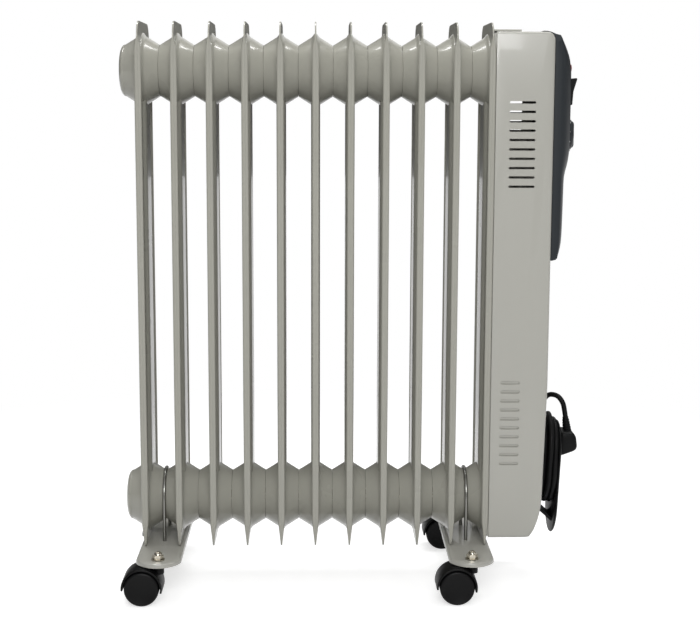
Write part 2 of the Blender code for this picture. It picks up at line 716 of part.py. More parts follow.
def plug():
    """Angled plug parked with its pins through the face plate; its guard points up."""
    side = [(PLUG_FOOT, 0.0030), (PLUG_FOOT + 0.0215, 0.0120), (PLUG_FOOT + 0.0180, 0.0310),
            (PLUG_FOOT, 0.0330)]
    body = rounded(slab(side, 0.034, TO_Y), 0.003, 2, 40)
    guard = rod(0.0050, 0, 0.0180, guard_frame(), 16, 0.0038)
    return cut(body, guard, "UNION")


def guard_frame():
    return Matrix.Translation((PLUG_FOOT + 0.0105, 0, 0.0290)) @ Matrix.Rotation(math.radians(-11), 4, "Y")


GUARD_END = guard_frame() @ Vector((0, 0, 0.0180 + GAP))
OUTER_TURN = HUB_HALF_WIDTH + GAP + WINDING_THICK - TURN_STEP / 2
INNER_TURN = HUB_HALF_WIDTH + GAP + TURN_STEP / 2


def smooth_route(knots, spacing):
    """Evenly spaced points on a smooth curve through the knots."""
    knots = [Vector(knot) for knot in knots]
    ends = [2 * knots[0] - knots[1], *knots, 2 * knots[-1] - knots[-2]]
    fine = []
    for before, start, end, after in zip(ends, ends[1:], ends[2:], ends[3:]):
        for step in range(24):
            t = step / 24
            fine.append(0.5 * ((2 * start) + (end - before) * t
                               + (2 * before - 5 * start + 4 * end - after) * t * t
                               + (3 * start - before - 3 * end + after) * t ** 3))
    fine.append(knots[-1])
    length = sum((b - a).length for a, b in zip(fine, fine[1:]))
    count = max(2, round(length / spacing))
    points = [fine[0]]
    walked = 0.0
    for a, b in zip(fine, fine[1:]):
        step = (b - a).length
        while len(points) < count and walked + step >= length * len(points) / count:
            share = (length * len(points) / count - walked) / step
            points.append(a.lerp(b, share))
        walked += step
    points.append(fine[-1])
    return points


TAIL = [(TURN_MIDDLE[1], OUTER_TURN, 0.0350), (TURN_MIDDLE[1] - 0.001, 0.0310, 0.0530),
        (TURN_MIDDLE[1] - 0.002, 0.0240, 0.0660), (-0.0075, 0.0130, 0.0755), (0.0010, 0.0035, 0.0745),
        (0.0065, 0.0, 0.0660), tuple(GUARD_END + Vector((-0.0013, 0, 0.0067))), tuple(GUARD_END)]
LEAD_TOP = -0.0421
LEAD_LENGTH = 0.016
LEAD_X = TURN_MIDDLE[2]
GLAND_HEIGHT = 0.014
GLAND_WIDTH = 0.012


def cord_gland():
    """Elbow on the casing's end, holding the cord as it comes out upwards."""
    top = LEAD_TOP - LEAD_LENGTH - GAP
    half = GLAND_WIDTH / 2
    block = box((LEAD_X - CASING_LENGTH / 2, INNER_TURN - half, top - GLAND_HEIGHT),
                (LEAD_X + half, INNER_TURN + half, top))
    casing = slab(casing_outline(-GAP, CASING_BACK), FIN_DEPTH, TO_Y)
    casing.transform(store.matrix_basis.inverted())
    return rounded(cut(block, casing), 0.0008, 1, 60)


piece("cord_store", cord_store(), PANEL_PLASTIC, parent=store)
piece("cord_winding", winding(), CORD_RUBBER, parent=store)
piece("cord_gland", cord_gland(), BLACK_PLASTIC, parent=store)
piece("cord_lead", tube([(LEAD_X, INNER_TURN, LEAD_TOP - LEAD_LENGTH + step * LEAD_LENGTH / 2)
                         for step in range(3)], CORD_R), CORD_RUBBER, parent=store)
piece("cord_tail", tube(smooth_route(TAIL, 0.012), CORD_R), CORD_RUBBER, parent=store)
piece("plug", plug(), BLACK_PLASTIC, parent=store)
for number, side in enumerate((-1, 1), start=1):
    pin = rod(PIN_R, -PIN_LENGTH, -GAP, TO_X, 12)
    piece(f"plug_pin_{number}", pin, BRASS, (PLUG_FOOT, side * PIN_SPACING / 2, PLUG_Z), parent=store)


# ---- feet ----
NUT_AF_R = 0.0050
LEG_Y = COLLAR_NECK_R + (UBOLT_R + GAP) / math.cos(math.atan2(COLLAR_SHOULDER_R - COLLAR_NECK_R,
                                                             COLLAR_HALF - COLLAR_SHOULDER_X))
LEG_DROP = 0.008


def foot_outline(inset):
    half = FOOT_WIDTH / 2 - inset
    reach = STEM_Y + FOOT_END - inset
    bow = 0.020
    end = arc((0, 0), 1, 20, 160, 8)
    far = [(half * x / end[0][0], reach - bow + bow * (y - end[0][1]) / (1 - end[0][1])) for x, y in end]
    return far + [(-x, -y) for x, y in far]


def foot_plate():
    """Pressed plate under two fins, its rim turned down, drilled for stems and U-bolt."""
    rim = slab(foot_outline(0), FOOT_LIP, middle=PLATE - FOOT_LIP / 2)
    under = slab(foot_outline(PLATE), FOOT_LIP, middle=-FOOT_LIP / 2)
    solid = cut(rim, under)
    holes = []
    for side in (-1, 1):
        holes.append(rod(STEM_R + GAP, -0.01, 0.01, Matrix.Translation((0, side * STEM_Y, 0)), 16))
        holes.append(rod(UBOLT_R + GAP, -0.01, 0.01, Matrix.Translation((0, side * LEG_Y, 0)), 12))
    return cut(solid, merged(holes))


def ubolt():
    """Bent rod over the groove between two collars, both legs down through the foot plate."""
    foot = FOOT_BOTTOM - LOWER_AXIS - LEG_DROP
    over = [(0, y, z) for y, z in arc((0, 0), LEG_Y, 0, 180, 14)]
    return tube([(0, LEG_Y, foot), *over, (0, -LEG_Y, foot)], UBOLT_R, 2)


def ubolt_nut():
    outer = rod(NUT_AF_R, -0.0045, -GAP, sides=6)
    return cut(outer, rod(UBOLT_R + GAP, -0.01, 0.01, sides=12))


# ---- casters ----
STEM_FOOT = math.sqrt(WHEEL_R ** 2 - (TRAIL - STEM_R - GAP) ** 2) + 2 * RUN   # above the axle


def hood():
    """Half-round cover, middle web with the axle's two ends, and the boss round the stem."""
    outer = arc((0, 0), HOOD_R, -12, 184, 12)
    inner = arc((0, 0), HOOD_R - HOOD_WALL, 184, -12, 12)
    cover = slab(outer + inner, HOOD_WIDTH, TO_Y)
    web = slab(arc((0, 0), HOOD_R - HOOD_WALL / 2, -12, 184, 12), WEB, TO_Y)
    axle = rod(AXLE_R, -HOOD_WIDTH / 2, HOOD_WIDTH / 2, TO_Y, 12)
    boss = rod(0.0065, 0.004, HOOD_R + FOOT_GAP - GAP, Matrix.Translation((TRAIL, 0, 0)), 12)
    solid = joined(cover, web, axle)
    clear = [rod(WHEEL_R + 0.0008, WEB / 2, HOOD_WIDTH, TO_Y, 24),
             rod(WHEEL_R + 0.0008, -HOOD_WIDTH, -WEB / 2, TO_Y, 24)]
    boss = cut(boss, merged(clear))
    solid = cut(solid, boss, "UNION")
    return cut(solid, rod(STEM_R + GAP, STEM_FOOT, 0.060, Matrix.Translation((TRAIL, 0, 0)), 12))


def stem():
    """Steel stem from the hood up through the plate, with its washer and dome nut on top."""
    low = STEM_FOOT + 0.0005
    plate_top = HOOD_R + FOOT_GAP + PLATE
    washer = plate_top + GAP
    nut = washer + WASHER
    shaft = rod(STEM_R, low, nut + 0.002, sides=12)
    disc = rod(WASHER_R, washer, nut, sides=16)
    hexagon = rod(NUT_R, nut - 0.0001, nut + 0.0042, sides=6)
    dome = turned([(0, 0.0042), (0.0024, 0.0037), (0.0042, 0.0018), (0.0048, -0.0005), (0, -0.0005)], 12)
    dome.transform(Matrix.Translation((0, 0, nut + 0.0042)))
    return joined(shaft, disc, hexagon, dome)


def wheel():
    """One wheel of a pair, about its own Y; its outer face is at -Y."""
    half = WHEEL_WIDTH / 2
    rounding = 0.0022
    profile = [(AXLE_R + RUN, half), (WHEEL_R - rounding, half), (WHEEL_R, half - rounding),
               (WHEEL_R, -half), (AXLE_R + RUN, -half), (AXLE_R + RUN, half)]
    return turned(profile, 24, TO_Y)


for side, x in (("left", -FOOT_X), ("right", FOOT_X)):
    piece(f"foot_plate_{side}", foot_plate(), CASING_PAINT, (x, 0, FOOT_BOTTOM))
    piece(f"ubolt_{side}", ubolt(), BARE_STEEL, (x, 0, LOWER_AXIS))
    for end, y in (("front", -1), ("rear", 1)):
        piece(f"ubolt_nut_{side}_{end}", ubolt_nut(), BARE_STEEL, (x, y * LEG_Y, FOOT_BOTTOM), smooth=False)
        swivel = pivot(f"swivel_{side}_{end}", (x, y * STEM_Y, 0))
        piece(f"caster_hood_{side}_{end}", hood(), BLACK_PLASTIC, (-TRAIL, 0, WHEEL_R), parent=swivel)
        piece(f"caster_stem_{side}_{end}", stem(), ZINC, (0, 0, WHEEL_R), parent=swivel)
        offset = WEB / 2 + RUN + WHEEL_WIDTH / 2
        for place, hand in (("outer", 1), ("inner", -1)):
            mesh = wheel()
            if hand * y > 0:
                mesh.transform(Matrix.Rotation(math.pi, 4, "Z"))
            piece(f"wheel_{side}_{end}_{place}", mesh, BLACK_PLASTIC,
                  (-TRAIL, hand * y * offset, WHEEL_R), parent=swivel)

bpy.context.view_layer.update()
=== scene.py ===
"""The looks of an oil filled radiator heater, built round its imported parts."""

import math

import bmesh
import bpy
from mathutils import Matrix, Vector


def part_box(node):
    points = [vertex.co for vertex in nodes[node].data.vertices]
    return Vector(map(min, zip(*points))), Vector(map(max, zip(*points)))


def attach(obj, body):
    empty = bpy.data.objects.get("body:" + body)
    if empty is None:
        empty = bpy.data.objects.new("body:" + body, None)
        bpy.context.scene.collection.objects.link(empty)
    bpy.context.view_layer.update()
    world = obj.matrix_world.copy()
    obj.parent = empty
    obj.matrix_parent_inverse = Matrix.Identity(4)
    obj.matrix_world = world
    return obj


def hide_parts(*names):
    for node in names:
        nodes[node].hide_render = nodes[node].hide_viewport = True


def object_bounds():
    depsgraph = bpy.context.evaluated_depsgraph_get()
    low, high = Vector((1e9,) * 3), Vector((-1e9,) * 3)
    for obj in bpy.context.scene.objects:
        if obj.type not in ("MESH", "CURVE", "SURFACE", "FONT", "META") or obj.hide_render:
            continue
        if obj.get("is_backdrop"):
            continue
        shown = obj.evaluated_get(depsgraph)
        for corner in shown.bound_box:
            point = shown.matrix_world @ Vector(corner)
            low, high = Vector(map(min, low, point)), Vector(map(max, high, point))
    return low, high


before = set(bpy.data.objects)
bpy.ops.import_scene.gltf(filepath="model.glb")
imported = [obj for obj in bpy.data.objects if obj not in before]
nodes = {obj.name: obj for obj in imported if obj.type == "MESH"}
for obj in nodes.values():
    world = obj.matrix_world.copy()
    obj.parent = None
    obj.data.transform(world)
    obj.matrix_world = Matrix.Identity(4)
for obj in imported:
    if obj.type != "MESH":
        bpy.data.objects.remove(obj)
cad_box = [list(corner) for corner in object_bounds()]


# ---- studio ----
# A pale floor, a soft box and a bright strip overhead, two boxes in front and one at each of the
# control end and the back, at a plain level of light.
# The camera stands level with the heater's upper collars and looks a little down at its side.
CAMERA_PLACE = Vector((-0.0347, -1.6614, 0.5433))
CAMERA_LOOK = Vector((0.02256, 0.98865, -0.14852))
CAMERA_ROLL = 0.0038
FLOOR_REACH = 9.0
FLOOR_TONE = 0.62
FLOOR_LIFT = 0.66             # glow towards the camera, so that the paper reads as white
FLOOR_FADE = (0.55, 1.1)      # distances at which the lit paper gives way to plain white
AMBIENT = 0.09

scene = bpy.context.scene
scene.view_settings.view_transform = "Standard"

camera_data = bpy.data.cameras.new("camera")
camera_data.lens = 76.25
camera_data.sensor_width = 36
camera_data.shift_y = 0.0118
camera_data.clip_end = 60
camera = bpy.data.objects.new("camera", camera_data)
scene.collection.objects.link(camera)
side = CAMERA_LOOK.cross(Vector((0, 0, 1))).normalized()
upward = side.cross(CAMERA_LOOK).normalized()
facing = Matrix((side, upward, -CAMERA_LOOK.normalized())).transposed().to_4x4()
camera.matrix_world = (Matrix.Translation(CAMERA_PLACE) @ facing
                       @ Matrix.Rotation(CAMERA_ROLL, 4, "Z"))
scene.camera = camera


def seen_by(tree, *outputs):
    """Adds up the kinds of ray that see a plain white background."""
    path = tree.nodes.new("ShaderNodeLightPath")
    total = path.outputs[outputs[0]]
    for name in outputs[1:]:
        add = tree.nodes.new("ShaderNodeMath")
        add.operation = "ADD"
        add.use_clamp = True
        tree.links.new(total, add.inputs[0])
        tree.links.new(path.outputs[name], add.inputs[1])
        total = add.outputs[0]
    return total


world = bpy.data.worlds.new("studio")
scene.world = world
world.use_nodes = True
tree = world.node_tree
tree.nodes.clear()
room = tree.nodes.new("ShaderNodeBackground")
room.inputs["Color"].default_value = (1, 1, 1, 1)
room.inputs["Strength"].default_value = AMBIENT
white = tree.nodes.new("ShaderNodeBackground")
white.inputs["Color"].default_value = (1, 1, 1, 1)
white.inputs["Strength"].default_value = 1.0
mix = tree.nodes.new("ShaderNodeMixShader")
tree.links.new(seen_by(tree, "Is Camera Ray", "Is Transmission Ray"), mix.inputs[0])
tree.links.new(room.outputs[0], mix.inputs[1])
tree.links.new(white.outputs[0], mix.inputs[2])
tree.links.new(mix.outputs[0], tree.nodes.new("ShaderNodeOutputWorld").inputs[0])

floor_mesh = bpy.data.meshes.new("floor")
floor_mesh.from_pydata([(x * FLOOR_REACH, y * FLOOR_REACH, -0.0004)
                        for x, y in ((-1, -1), (1, -1), (1, 1), (-1, 1))], [], [(0, 1, 2, 3)])
floor = bpy.data.objects.new("floor", floor_mesh)
scene.collection.objects.link(floor)
floor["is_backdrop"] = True
floor_paint = bpy.data.materials.new("floor_paper")
floor_paint.use_nodes = True
tree = floor_paint.node_tree
tree.nodes.clear()
paper = tree.nodes.new("ShaderNodeBsdfDiffuse")
paper.inputs["Color"].default_value = (FLOOR_TONE, FLOOR_TONE, FLOOR_TONE, 1)
glow = tree.nodes.new("ShaderNodeEmission")
glow.inputs["Strength"].default_value = FLOOR_LIFT
both = tree.nodes.new("ShaderNodeAddShader")
tree.links.new(paper.outputs[0], both.inputs[0])
tree.links.new(glow.outputs[0], both.inputs[1])
plain = tree.nodes.new("ShaderNodeEmission")
distance = tree.nodes.new("ShaderNodeVectorMath")
distance.operation = "LENGTH"
tree.links.new(tree.nodes.new("ShaderNodeTexCoord").outputs["Object"], distance.inputs[0])
fade = tree.nodes.new("ShaderNodeMapRange")
fade.interpolation_type = "SMOOTHSTEP"
fade.inputs["From Min"].default_value, fade.inputs["From Max"].default_value = FLOOR_FADE
tree.links.new(distance.outputs["Value"], fade.inputs["Value"])
outer = tree.nodes.new("ShaderNodeMixShader")
tree.links.new(fade.outputs["Result"], outer.inputs[0])
tree.links.new(both.outputs[0], outer.inputs[1])
tree.links.new(plain.outputs[0], outer.inputs[2])
shown = tree.nodes.new("ShaderNodeMixShader")
tree.links.new(seen_by(tree, "Is Camera Ray", "Is Glossy Ray", "Is Transmission Ray"), shown.inputs[0])
tree.links.new(paper.outputs[0], shown.inputs[1])
tree.links.new(outer.outputs[0], shown.inputs[2])
tree.links.new(shown.outputs[0], tree.nodes.new("ShaderNodeOutputMaterial").inputs[0])
floor_mesh.materials.append(floor_paint)

for name, place, size, power in (
        ("overhead_strip", (0.0, 0.62, 2.15), (2.8, 0.16), 34),
        ("overhead_box", (-0.1, -0.9, 2.1), (2.2, 1.0), 9),
        ("front_left_box", (-0.28, -2.3, 1.50), (0.5, 1.0), 19),
        ("front_right_box", (0.26, -2.3, 1.50), (0.5, 1.0), 19),
        ("end_box", (2.4, -0.5, 1.6), (1.0, 1.0), 8),
        ("back_box", (0.6, 2.4, 1.5), (1.8, 1.4), 7)):
    lamp = bpy.data.lights.new(name, "AREA")
    lamp.shape = "RECTANGLE"
    lamp.size, lamp.size_y = size
    lamp.energy = power
    body = bpy.data.objects.new(name, lamp)
    scene.collection.objects.link(body)
    body.location = place
    aim = Vector((0, 0, 0.33)) - Vector(place)
    body.rotation_euler = aim.to_track_quat("-Z", "Y").to_euler()


# ---- fins ----
# Each fin is two pressed steel skins, seam welded round an oil channel, their side edges rolled over.
# Its two collars are drawn out of the skins and welded to the next fin's; all of it is dipped in enamel.
FIN_COUNT = 11
FIN_PITCH = 0.038
FIN_HALF = 0.055
FIN_TOP_CORNER = 0.018
FIN_FOOT_CORNER = 0.005
SKIN = 0.0008
COLLAR_HALF = 0.01885
COLLAR_STEPS = 72
ROLL_START = 0.0015           # of the rolled edge, above the fin's lower end
ROLL_FULL = 0.026
ROLL_TOP_START = 0.016        # below the fin's upper end
ROLL_TOP_FULL = 0.030
CHANNEL_RUNOUT = 0.020        # from a collar's middle to the channel's full depth
RUNOUT_STEP = 0.005
FOOT_SECTIONS = [0.0, 0.0004, 0.0012, 0.0025, 0.0045, 0.0065, 0.009, 0.012, 0.015, 0.018, 0.022, 0.026,
                 0.032]
MIDDLE_SECTIONS = [0.16, 0.28, 0.40]
TOP_SECTIONS = [0.036, 0.031, 0.027, 0.023, 0.018, 0.014, 0.010, 0.0065, 0.0045, 0.0025, 0.0012, 0.0004,
                0.0]
ROLL = [(0.00030, 0.0), (0.00006, 0.0007), (0.0, 0.0016), (0.00018, 0.0027), (0.0008, 0.00345),
        (0.0016, 0.00372), (0.0025, 0.0034), (0.0034, 0.0024), (0.0046, 0.0014), (0.0064, SKIN)]
CHANNEL = [(0.0242, SKIN), (0.0222, 0.0013), (0.0202, 0.0035), (0.0186, 0.0046), (0.0165, 0.0050),
           (0.0060, 0.0049), (0.0, 0.0049)]
COLLAR = [(0.01885, 0.0279), (0.01875, 0.0280), (0.01850, 0.02815), (0.0178, 0.0286), (0.0142, 0.0307),
          (0.0136, 0.0312), (0.0092, 0.0338), (0.0086, 0.0343), (0.0054, 0.0362), (0.0042, 0.0371),
          (0.0033, 0.0381), (0.0026, 0.0392), (0.0019, 0.0401), (0.0011, 0.0409), (0.0004, 0.0412)]

fin_low, fin_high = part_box("fin_06")
middle_fin = (fin_low.x + fin_high.x) / 2
last_fin = (FIN_COUNT - 1) / 2 * FIN_PITCH
fin_bottom, fin_top = fin_low.z, fin_high.z
cap_low, cap_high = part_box("lower_end_cap")
lower_axis = (cap_low.z + cap_high.z) / 2
cap_low, cap_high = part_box("upper_end_cap")
upper_axis = (cap_low.z + cap_high.z) / 2


def ramp(value, start, end):
    """Zero before start, one after end, smooth between."""
    share = min(1.0, max(0.0, (value - start) / (end - start)))
    return share * share * (3 - 2 * share)


def bare_mesh(work, name):
    """A mesh from a bmesh, doubles merged and faces pointing out."""
    bmesh.ops.remove_doubles(work, verts=work.verts, dist=1e-6)
    bmesh.ops.recalc_face_normals(work, faces=work.faces)
    mesh = bpy.data.meshes.new(name)
    work.to_mesh(mesh)
    work.free()
    return mesh


def add_loft(work, rings, ends=True):
    """Closed rings of points, skinned one to the next; the ends are filled."""
    made = [[work.verts.new(point) for point in ring] for ring in rings]
    for lower, upper in zip(made, made[1:]):
        for i in range(len(lower)):
            j = (i + 1) % len(lower)
            work.faces.new((lower[i], lower[j], upper[j], upper[i]))
    if ends:
        work.faces.new(made[0])
        work.faces.new(made[-1])


def add_turned(work, profile, steps, place):
    """A shape turned about place's own x; profile is (x, radius), and a radius of zero closes it."""
    rings = []
    for x, radius in profile:
        rings.append([place @ Vector((x, radius * math.cos(2 * math.pi * k / steps),
                                      radius * math.sin(2 * math.pi * k / steps))) for k in range(steps)])
    add_loft(work, rings, ends=False)


def turned(name, profile, steps, place):
    """One turned shape as a mesh."""
    work = bmesh.new()
    add_turned(work, profile, steps, place)
    return bare_mesh(work, name)


def lofted(name, *shapes):
    """One mesh of one or more shapes, each given as its rings of points."""
    work = bmesh.new()
    for rings in shapes:
        add_loft(work, rings)
    return bare_mesh(work, name)


def fin_ring(height):
    """The fin's section at a height above its lower end: the +x skin, then back along the -x skin."""
    total = fin_top - fin_bottom
    from_end = min(height, total - height)
    corner = FIN_FOOT_CORNER if height < total / 2 else FIN_TOP_CORNER
    half = FIN_HALF
    if from_end < corner:
        half -= corner - math.sqrt(corner ** 2 - (corner - from_end) ** 2)
    roll = (min(1.0, max(0.0, height - ROLL_START) / ROLL_FULL)
            * ramp(total - height, ROLL_TOP_START, ROLL_TOP_FULL))
    low_axis, high_axis = lower_axis - fin_bottom, fin_top - upper_axis
    channel = (ramp(height, low_axis, low_axis + CHANNEL_RUNOUT)
               * ramp(total - height, high_axis, high_axis + CHANNEL_RUNOUT))
    front = [(inset - half, SKIN + (x - SKIN) * roll if x else 0.0) for inset, x in ROLL]
    front += [(-y, SKIN + (x - SKIN) * channel) for y, x in CHANNEL]
    line = front + [(-y, x) for y, x in reversed(front[:-1])]
    return line + [(y, -x) for y, x in reversed(line[1:-1])]


total = fin_top - fin_bottom
heights = FOOT_SECTIONS + [lower_axis - fin_bottom + step * RUNOUT_STEP for step in range(5)]
heights += MIDDLE_SECTIONS + [upper_axis - fin_bottom - step * RUNOUT_STEP for step in range(4, -1, -1)]
heights += [total - below for below in TOP_SECTIONS]
work = bmesh.new()
add_loft(work, [[(x, y, fin_bottom + height) for y, x in fin_ring(height)] for height in heights])
collar_line = COLLAR + [(-x, radius) for x, radius in reversed(COLLAR)]
for axis in (lower_axis, upper_axis):
    add_turned(work, collar_line, COLLAR_STEPS, Matrix.Translation((0, 0, axis)))
pressing = bare_mesh(work, "radiator_fins")
pressing.transform(Matrix.Translation((middle_fin - last_fin, 0, 0)))


def effect_group(name, inputs, outputs):
    """An empty shader node group with named sockets, and its two end nodes."""
    group = bpy.data.node_groups.new(name, "ShaderNodeTree")
    for label, kind, value in inputs:
        socket = group.interface.new_socket(label, in_out="INPUT", socket_type=kind)
        socket.default_value = value
    for label, kind in outputs:
        group.interface.new_socket(label, in_out="OUTPUT", socket_type=kind)
    return group, group.nodes.new("NodeGroupInput"), group.nodes.new("NodeGroupOutput")


def noise_of(group, given, where, scale_name, detail, roughness=0.5):
    """A noise whose scale is one of the group's inputs."""
    noise = group.nodes.new("ShaderNodeTexNoise")
    noise.inputs["Detail"].default_value = detail
    noise.inputs["Roughness"].default_value = roughness
    group.links.new(where, noise.inputs["Vector"])
    group.links.new(given.outputs[scale_name], noise.inputs["Scale"])
    return noise.outputs["Fac"]


def math_of(group, operation, first, second):
    """A sum or product of sockets or numbers."""
    node = group.nodes.new("ShaderNodeMath")
    node.operation = operation
    for socket, value in zip(node.inputs, (first, second)):
        if isinstance(value, (int, float)):
            socket.default_value = value
        else:
            group.links.new(value, socket)
    return node.outputs[0]


def blended(group, amount, first, second):
    """Mixes two colours by an amount."""
    node = group.nodes.new("ShaderNodeMix")
    node.data_type = "RGBA"
    group.links.new(amount, node.inputs["Factor"])
    for socket, value in zip((node.inputs[6], node.inputs[7]), (first, second)):
        if isinstance(value, tuple):
            socket.default_value = value
        else:
            group.links.new(value, socket)
    return node.outputs[2]


COAT_INPUTS = (("Colour", "NodeSocketColor", (0.4, 0.4, 0.4, 1)),
               ("Second Colour", "NodeSocketColor", (0.3, 0.3, 0.3, 1)),
               ("Patch Scale", "NodeSocketFloat", 14.0), ("Grain Scale", "NodeSocketFloat", 900.0),
               ("Roughness", "NodeSocketFloat", 0.3), ("Roughness Spread", "NodeSocketFloat", 0.08),
               ("Relief", "NodeSocketFloat", 0.00002), ("Relief Share", "NodeSocketFloat", 0.2))
COAT_OUTPUTS = (("Colour", "NodeSocketColor"), ("Roughness", "NodeSocketFloat"),
                ("Normal", "NodeSocketVector"))

# Cloudy tone, uneven gloss and a fine relief: orange peel on enamel, spark grain on a moulding.
coat_group, given, result = effect_group("surface_coat", COAT_INPUTS, COAT_OUTPUTS)
where = coat_group.nodes.new("ShaderNodeTexCoord").outputs["Object"]
patches = noise_of(coat_group, given, where, "Patch Scale", 4)
grain = noise_of(coat_group, given, where, "Grain Scale", 2)
coat_group.links.new(blended(coat_group, math_of(coat_group, "MULTIPLY", patches, 0.5),
                             given.outputs["Colour"], given.outputs["Second Colour"]),
                     result.inputs["Colour"])
uneven = math_of(coat_group, "MULTIPLY", math_of(coat_group, "SUBTRACT", patches, 0.5),
                 given.outputs["Roughness Spread"])
coat_group.links.new(math_of(coat_group, "ADD", given.outputs["Roughness"], uneven),
                     result.inputs["Roughness"])
bump = coat_group.nodes.new("ShaderNodeBump")
coat_group.links.new(given.outputs["Relief"], bump.inputs["Distance"])
coat_group.links.new(given.outputs["Relief Share"], bump.inputs["Strength"])
coat_group.links.new(grain, bump.inputs["Height"])
coat_group.links.new(bump.outputs["Normal"], result.inputs["Normal"])


def coated(name, colour, second, patch, grain, roughness, spread, relief, share, metallic=0.0, coat=0.0,
           mirror=0.5):
    """A material whose colour, gloss and relief come from the shared coat group."""
    made = bpy.data.materials.new(name)
    made.use_nodes = True
    shader = made.node_tree.nodes["Principled BSDF"]
    shader.inputs["Metallic"].default_value = metallic
    shader.inputs["Coat Weight"].default_value = coat
    shader.inputs["Specular IOR Level"].default_value = mirror
    shader.inputs["Coat Roughness"].default_value = 0.06
    node = made.node_tree.nodes.new("ShaderNodeGroup")
    node.node_tree = coat_group
    values = ((*colour, 1), (*second, 1), patch, grain, roughness, spread, relief, share)
    for socket, value in zip(node.inputs, values):
        socket.default_value = value
    made.node_tree.links.new(node.outputs["Colour"], shader.inputs["Base Color"])
    made.node_tree.links.new(node.outputs["Roughness"], shader.inputs["Roughness"])
    made.node_tree.links.new(node.outputs["Normal"], shader.inputs["Normal"])
    return made


FIN_ENAMEL = coated("fin_enamel", (0.38, 0.375, 0.33), (0.36, 0.355, 0.31), 11, 320, 0.28, 0.06,
                    0.00010, 0.06, coat=0.34, mirror=0.3)

# A row of one pressing: how many, the step from each to the next, and the enamel on them.
row_tree = bpy.data.node_groups.new("pressing_row", "GeometryNodeTree")
row_inputs = {label: row_tree.interface.new_socket(label, in_out="INPUT", socket_type=kind)
              for label, kind in (("Pressing", "NodeSocketGeometry"), ("Count", "NodeSocketInt"),
                                  ("Step", "NodeSocketVector"), ("Enamel", "NodeSocketMaterial"))}
row_tree.interface.new_socket("Row", in_out="OUTPUT", socket_type="NodeSocketGeometry")
given = row_tree.nodes.new("NodeGroupInput")
line = row_tree.nodes.new("GeometryNodeMeshLine")
line.mode = "OFFSET"
place = row_tree.nodes.new("GeometryNodeInstanceOnPoints")
solid = row_tree.nodes.new("GeometryNodeRealizeInstances")
paint = row_tree.nodes.new("GeometryNodeSetMaterial")
for source, target in ((given.outputs["Count"], line.inputs["Count"]),
                       (given.outputs["Step"], line.inputs["Offset"]),
                       (line.outputs["Mesh"], place.inputs["Points"]),
                       (given.outputs["Pressing"], place.inputs["Instance"]),
                       (place.outputs["Instances"], solid.inputs["Geometry"]),
                       (solid.outputs["Geometry"], paint.inputs["Geometry"]),
                       (given.outputs["Enamel"], paint.inputs["Material"]),
                       (paint.outputs["Geometry"], row_tree.nodes.new("NodeGroupOutput").inputs["Row"])):
    row_tree.links.new(source, target)


def set_out(pressing, count, step, enamel):
    """The mesh of a row of pressings."""
    start = bpy.data.objects.new("start", pressing)
    scene.collection.objects.link(start)
    modifier = start.modifiers.new("row", "NODES")
    modifier.node_group = row_tree
    for label, value in (("Count", count), ("Step", step), ("Enamel", enamel)):
        modifier[row_inputs[label].identifier] = value
    bpy.context.view_layer.update()
    made = bpy.data.meshes.new_from_object(start.evaluated_get(bpy.context.evaluated_depsgraph_get()))
    bpy.data.objects.remove(start)
    return made


def finished(name, mesh, material, body, replaced, angle=32):
    """A piece at the origin with its place in its mesh, shaded, painted and riding on its body."""
    mesh.name = name
    if material:
        mesh.materials.clear()
        mesh.materials.append(material)
    mesh.shade_smooth()
    mesh.set_sharp_from_angle(angle=math.radians(angle))
    piece = bpy.data.objects.new(name, mesh)
    scene.collection.objects.link(piece)
    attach(piece, body)
    if replaced:
        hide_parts(*replaced)
    return piece


row = set_out(pressing, FIN_COUNT, (FIN_PITCH, 0, 0), FIN_ENAMEL)
finished("radiator_fins", row, None, "heater",
         [f"fin_{number:02d}" for number in range(1, FIN_COUNT + 1)])


# ---- collar caps ----
# Three shallow domes of the fins' own steel, welded over the open collars: two at the plain end,
# and one inside the casing. The lower collar's casing end takes the screwed plug of the element.
CAP = [(0.0, 0.0281), (0.0012, 0.0279), (0.0024, 0.0270), (0.0036, 0.0254), (0.0047, 0.0228),
       (0.0054, 0.0195), (0.0058, 0.0150), (0.00595, 0.0085), (0.0060, 0.0)]
CAP_STEPS = 64
CAP_SPIGOT = (0.003, 0.0236)  # depth and radius of the ring that enters the collar


def cap_mesh(end_x, axis, out):
    """A domed cap on a collar's end, bulging along x when out is 1 and against it when -1."""
    depth, radius = CAP_SPIGOT
    turn = Matrix.Translation((end_x, 0, axis)) @ Matrix.Rotation(0 if out > 0 else math.pi, 4, "Z")
    return turned("cap", [(-depth, 0.0), (-depth, radius), (0.0, radius)] + CAP, CAP_STEPS, turn)


left_end = middle_fin - last_fin - COLLAR_HALF
right_end = middle_fin + last_fin + COLLAR_HALF
for name, end_x, axis, out in (("upper_end_cap", left_end, upper_axis, -1),
                               ("lower_end_cap", left_end, lower_axis, -1),
                               ("upper_casing_side_cap", right_end, upper_axis, 1)):
    finished(name + "_dome", cap_mesh(end_x, axis, out), FIN_ENAMEL, "heater", [name])


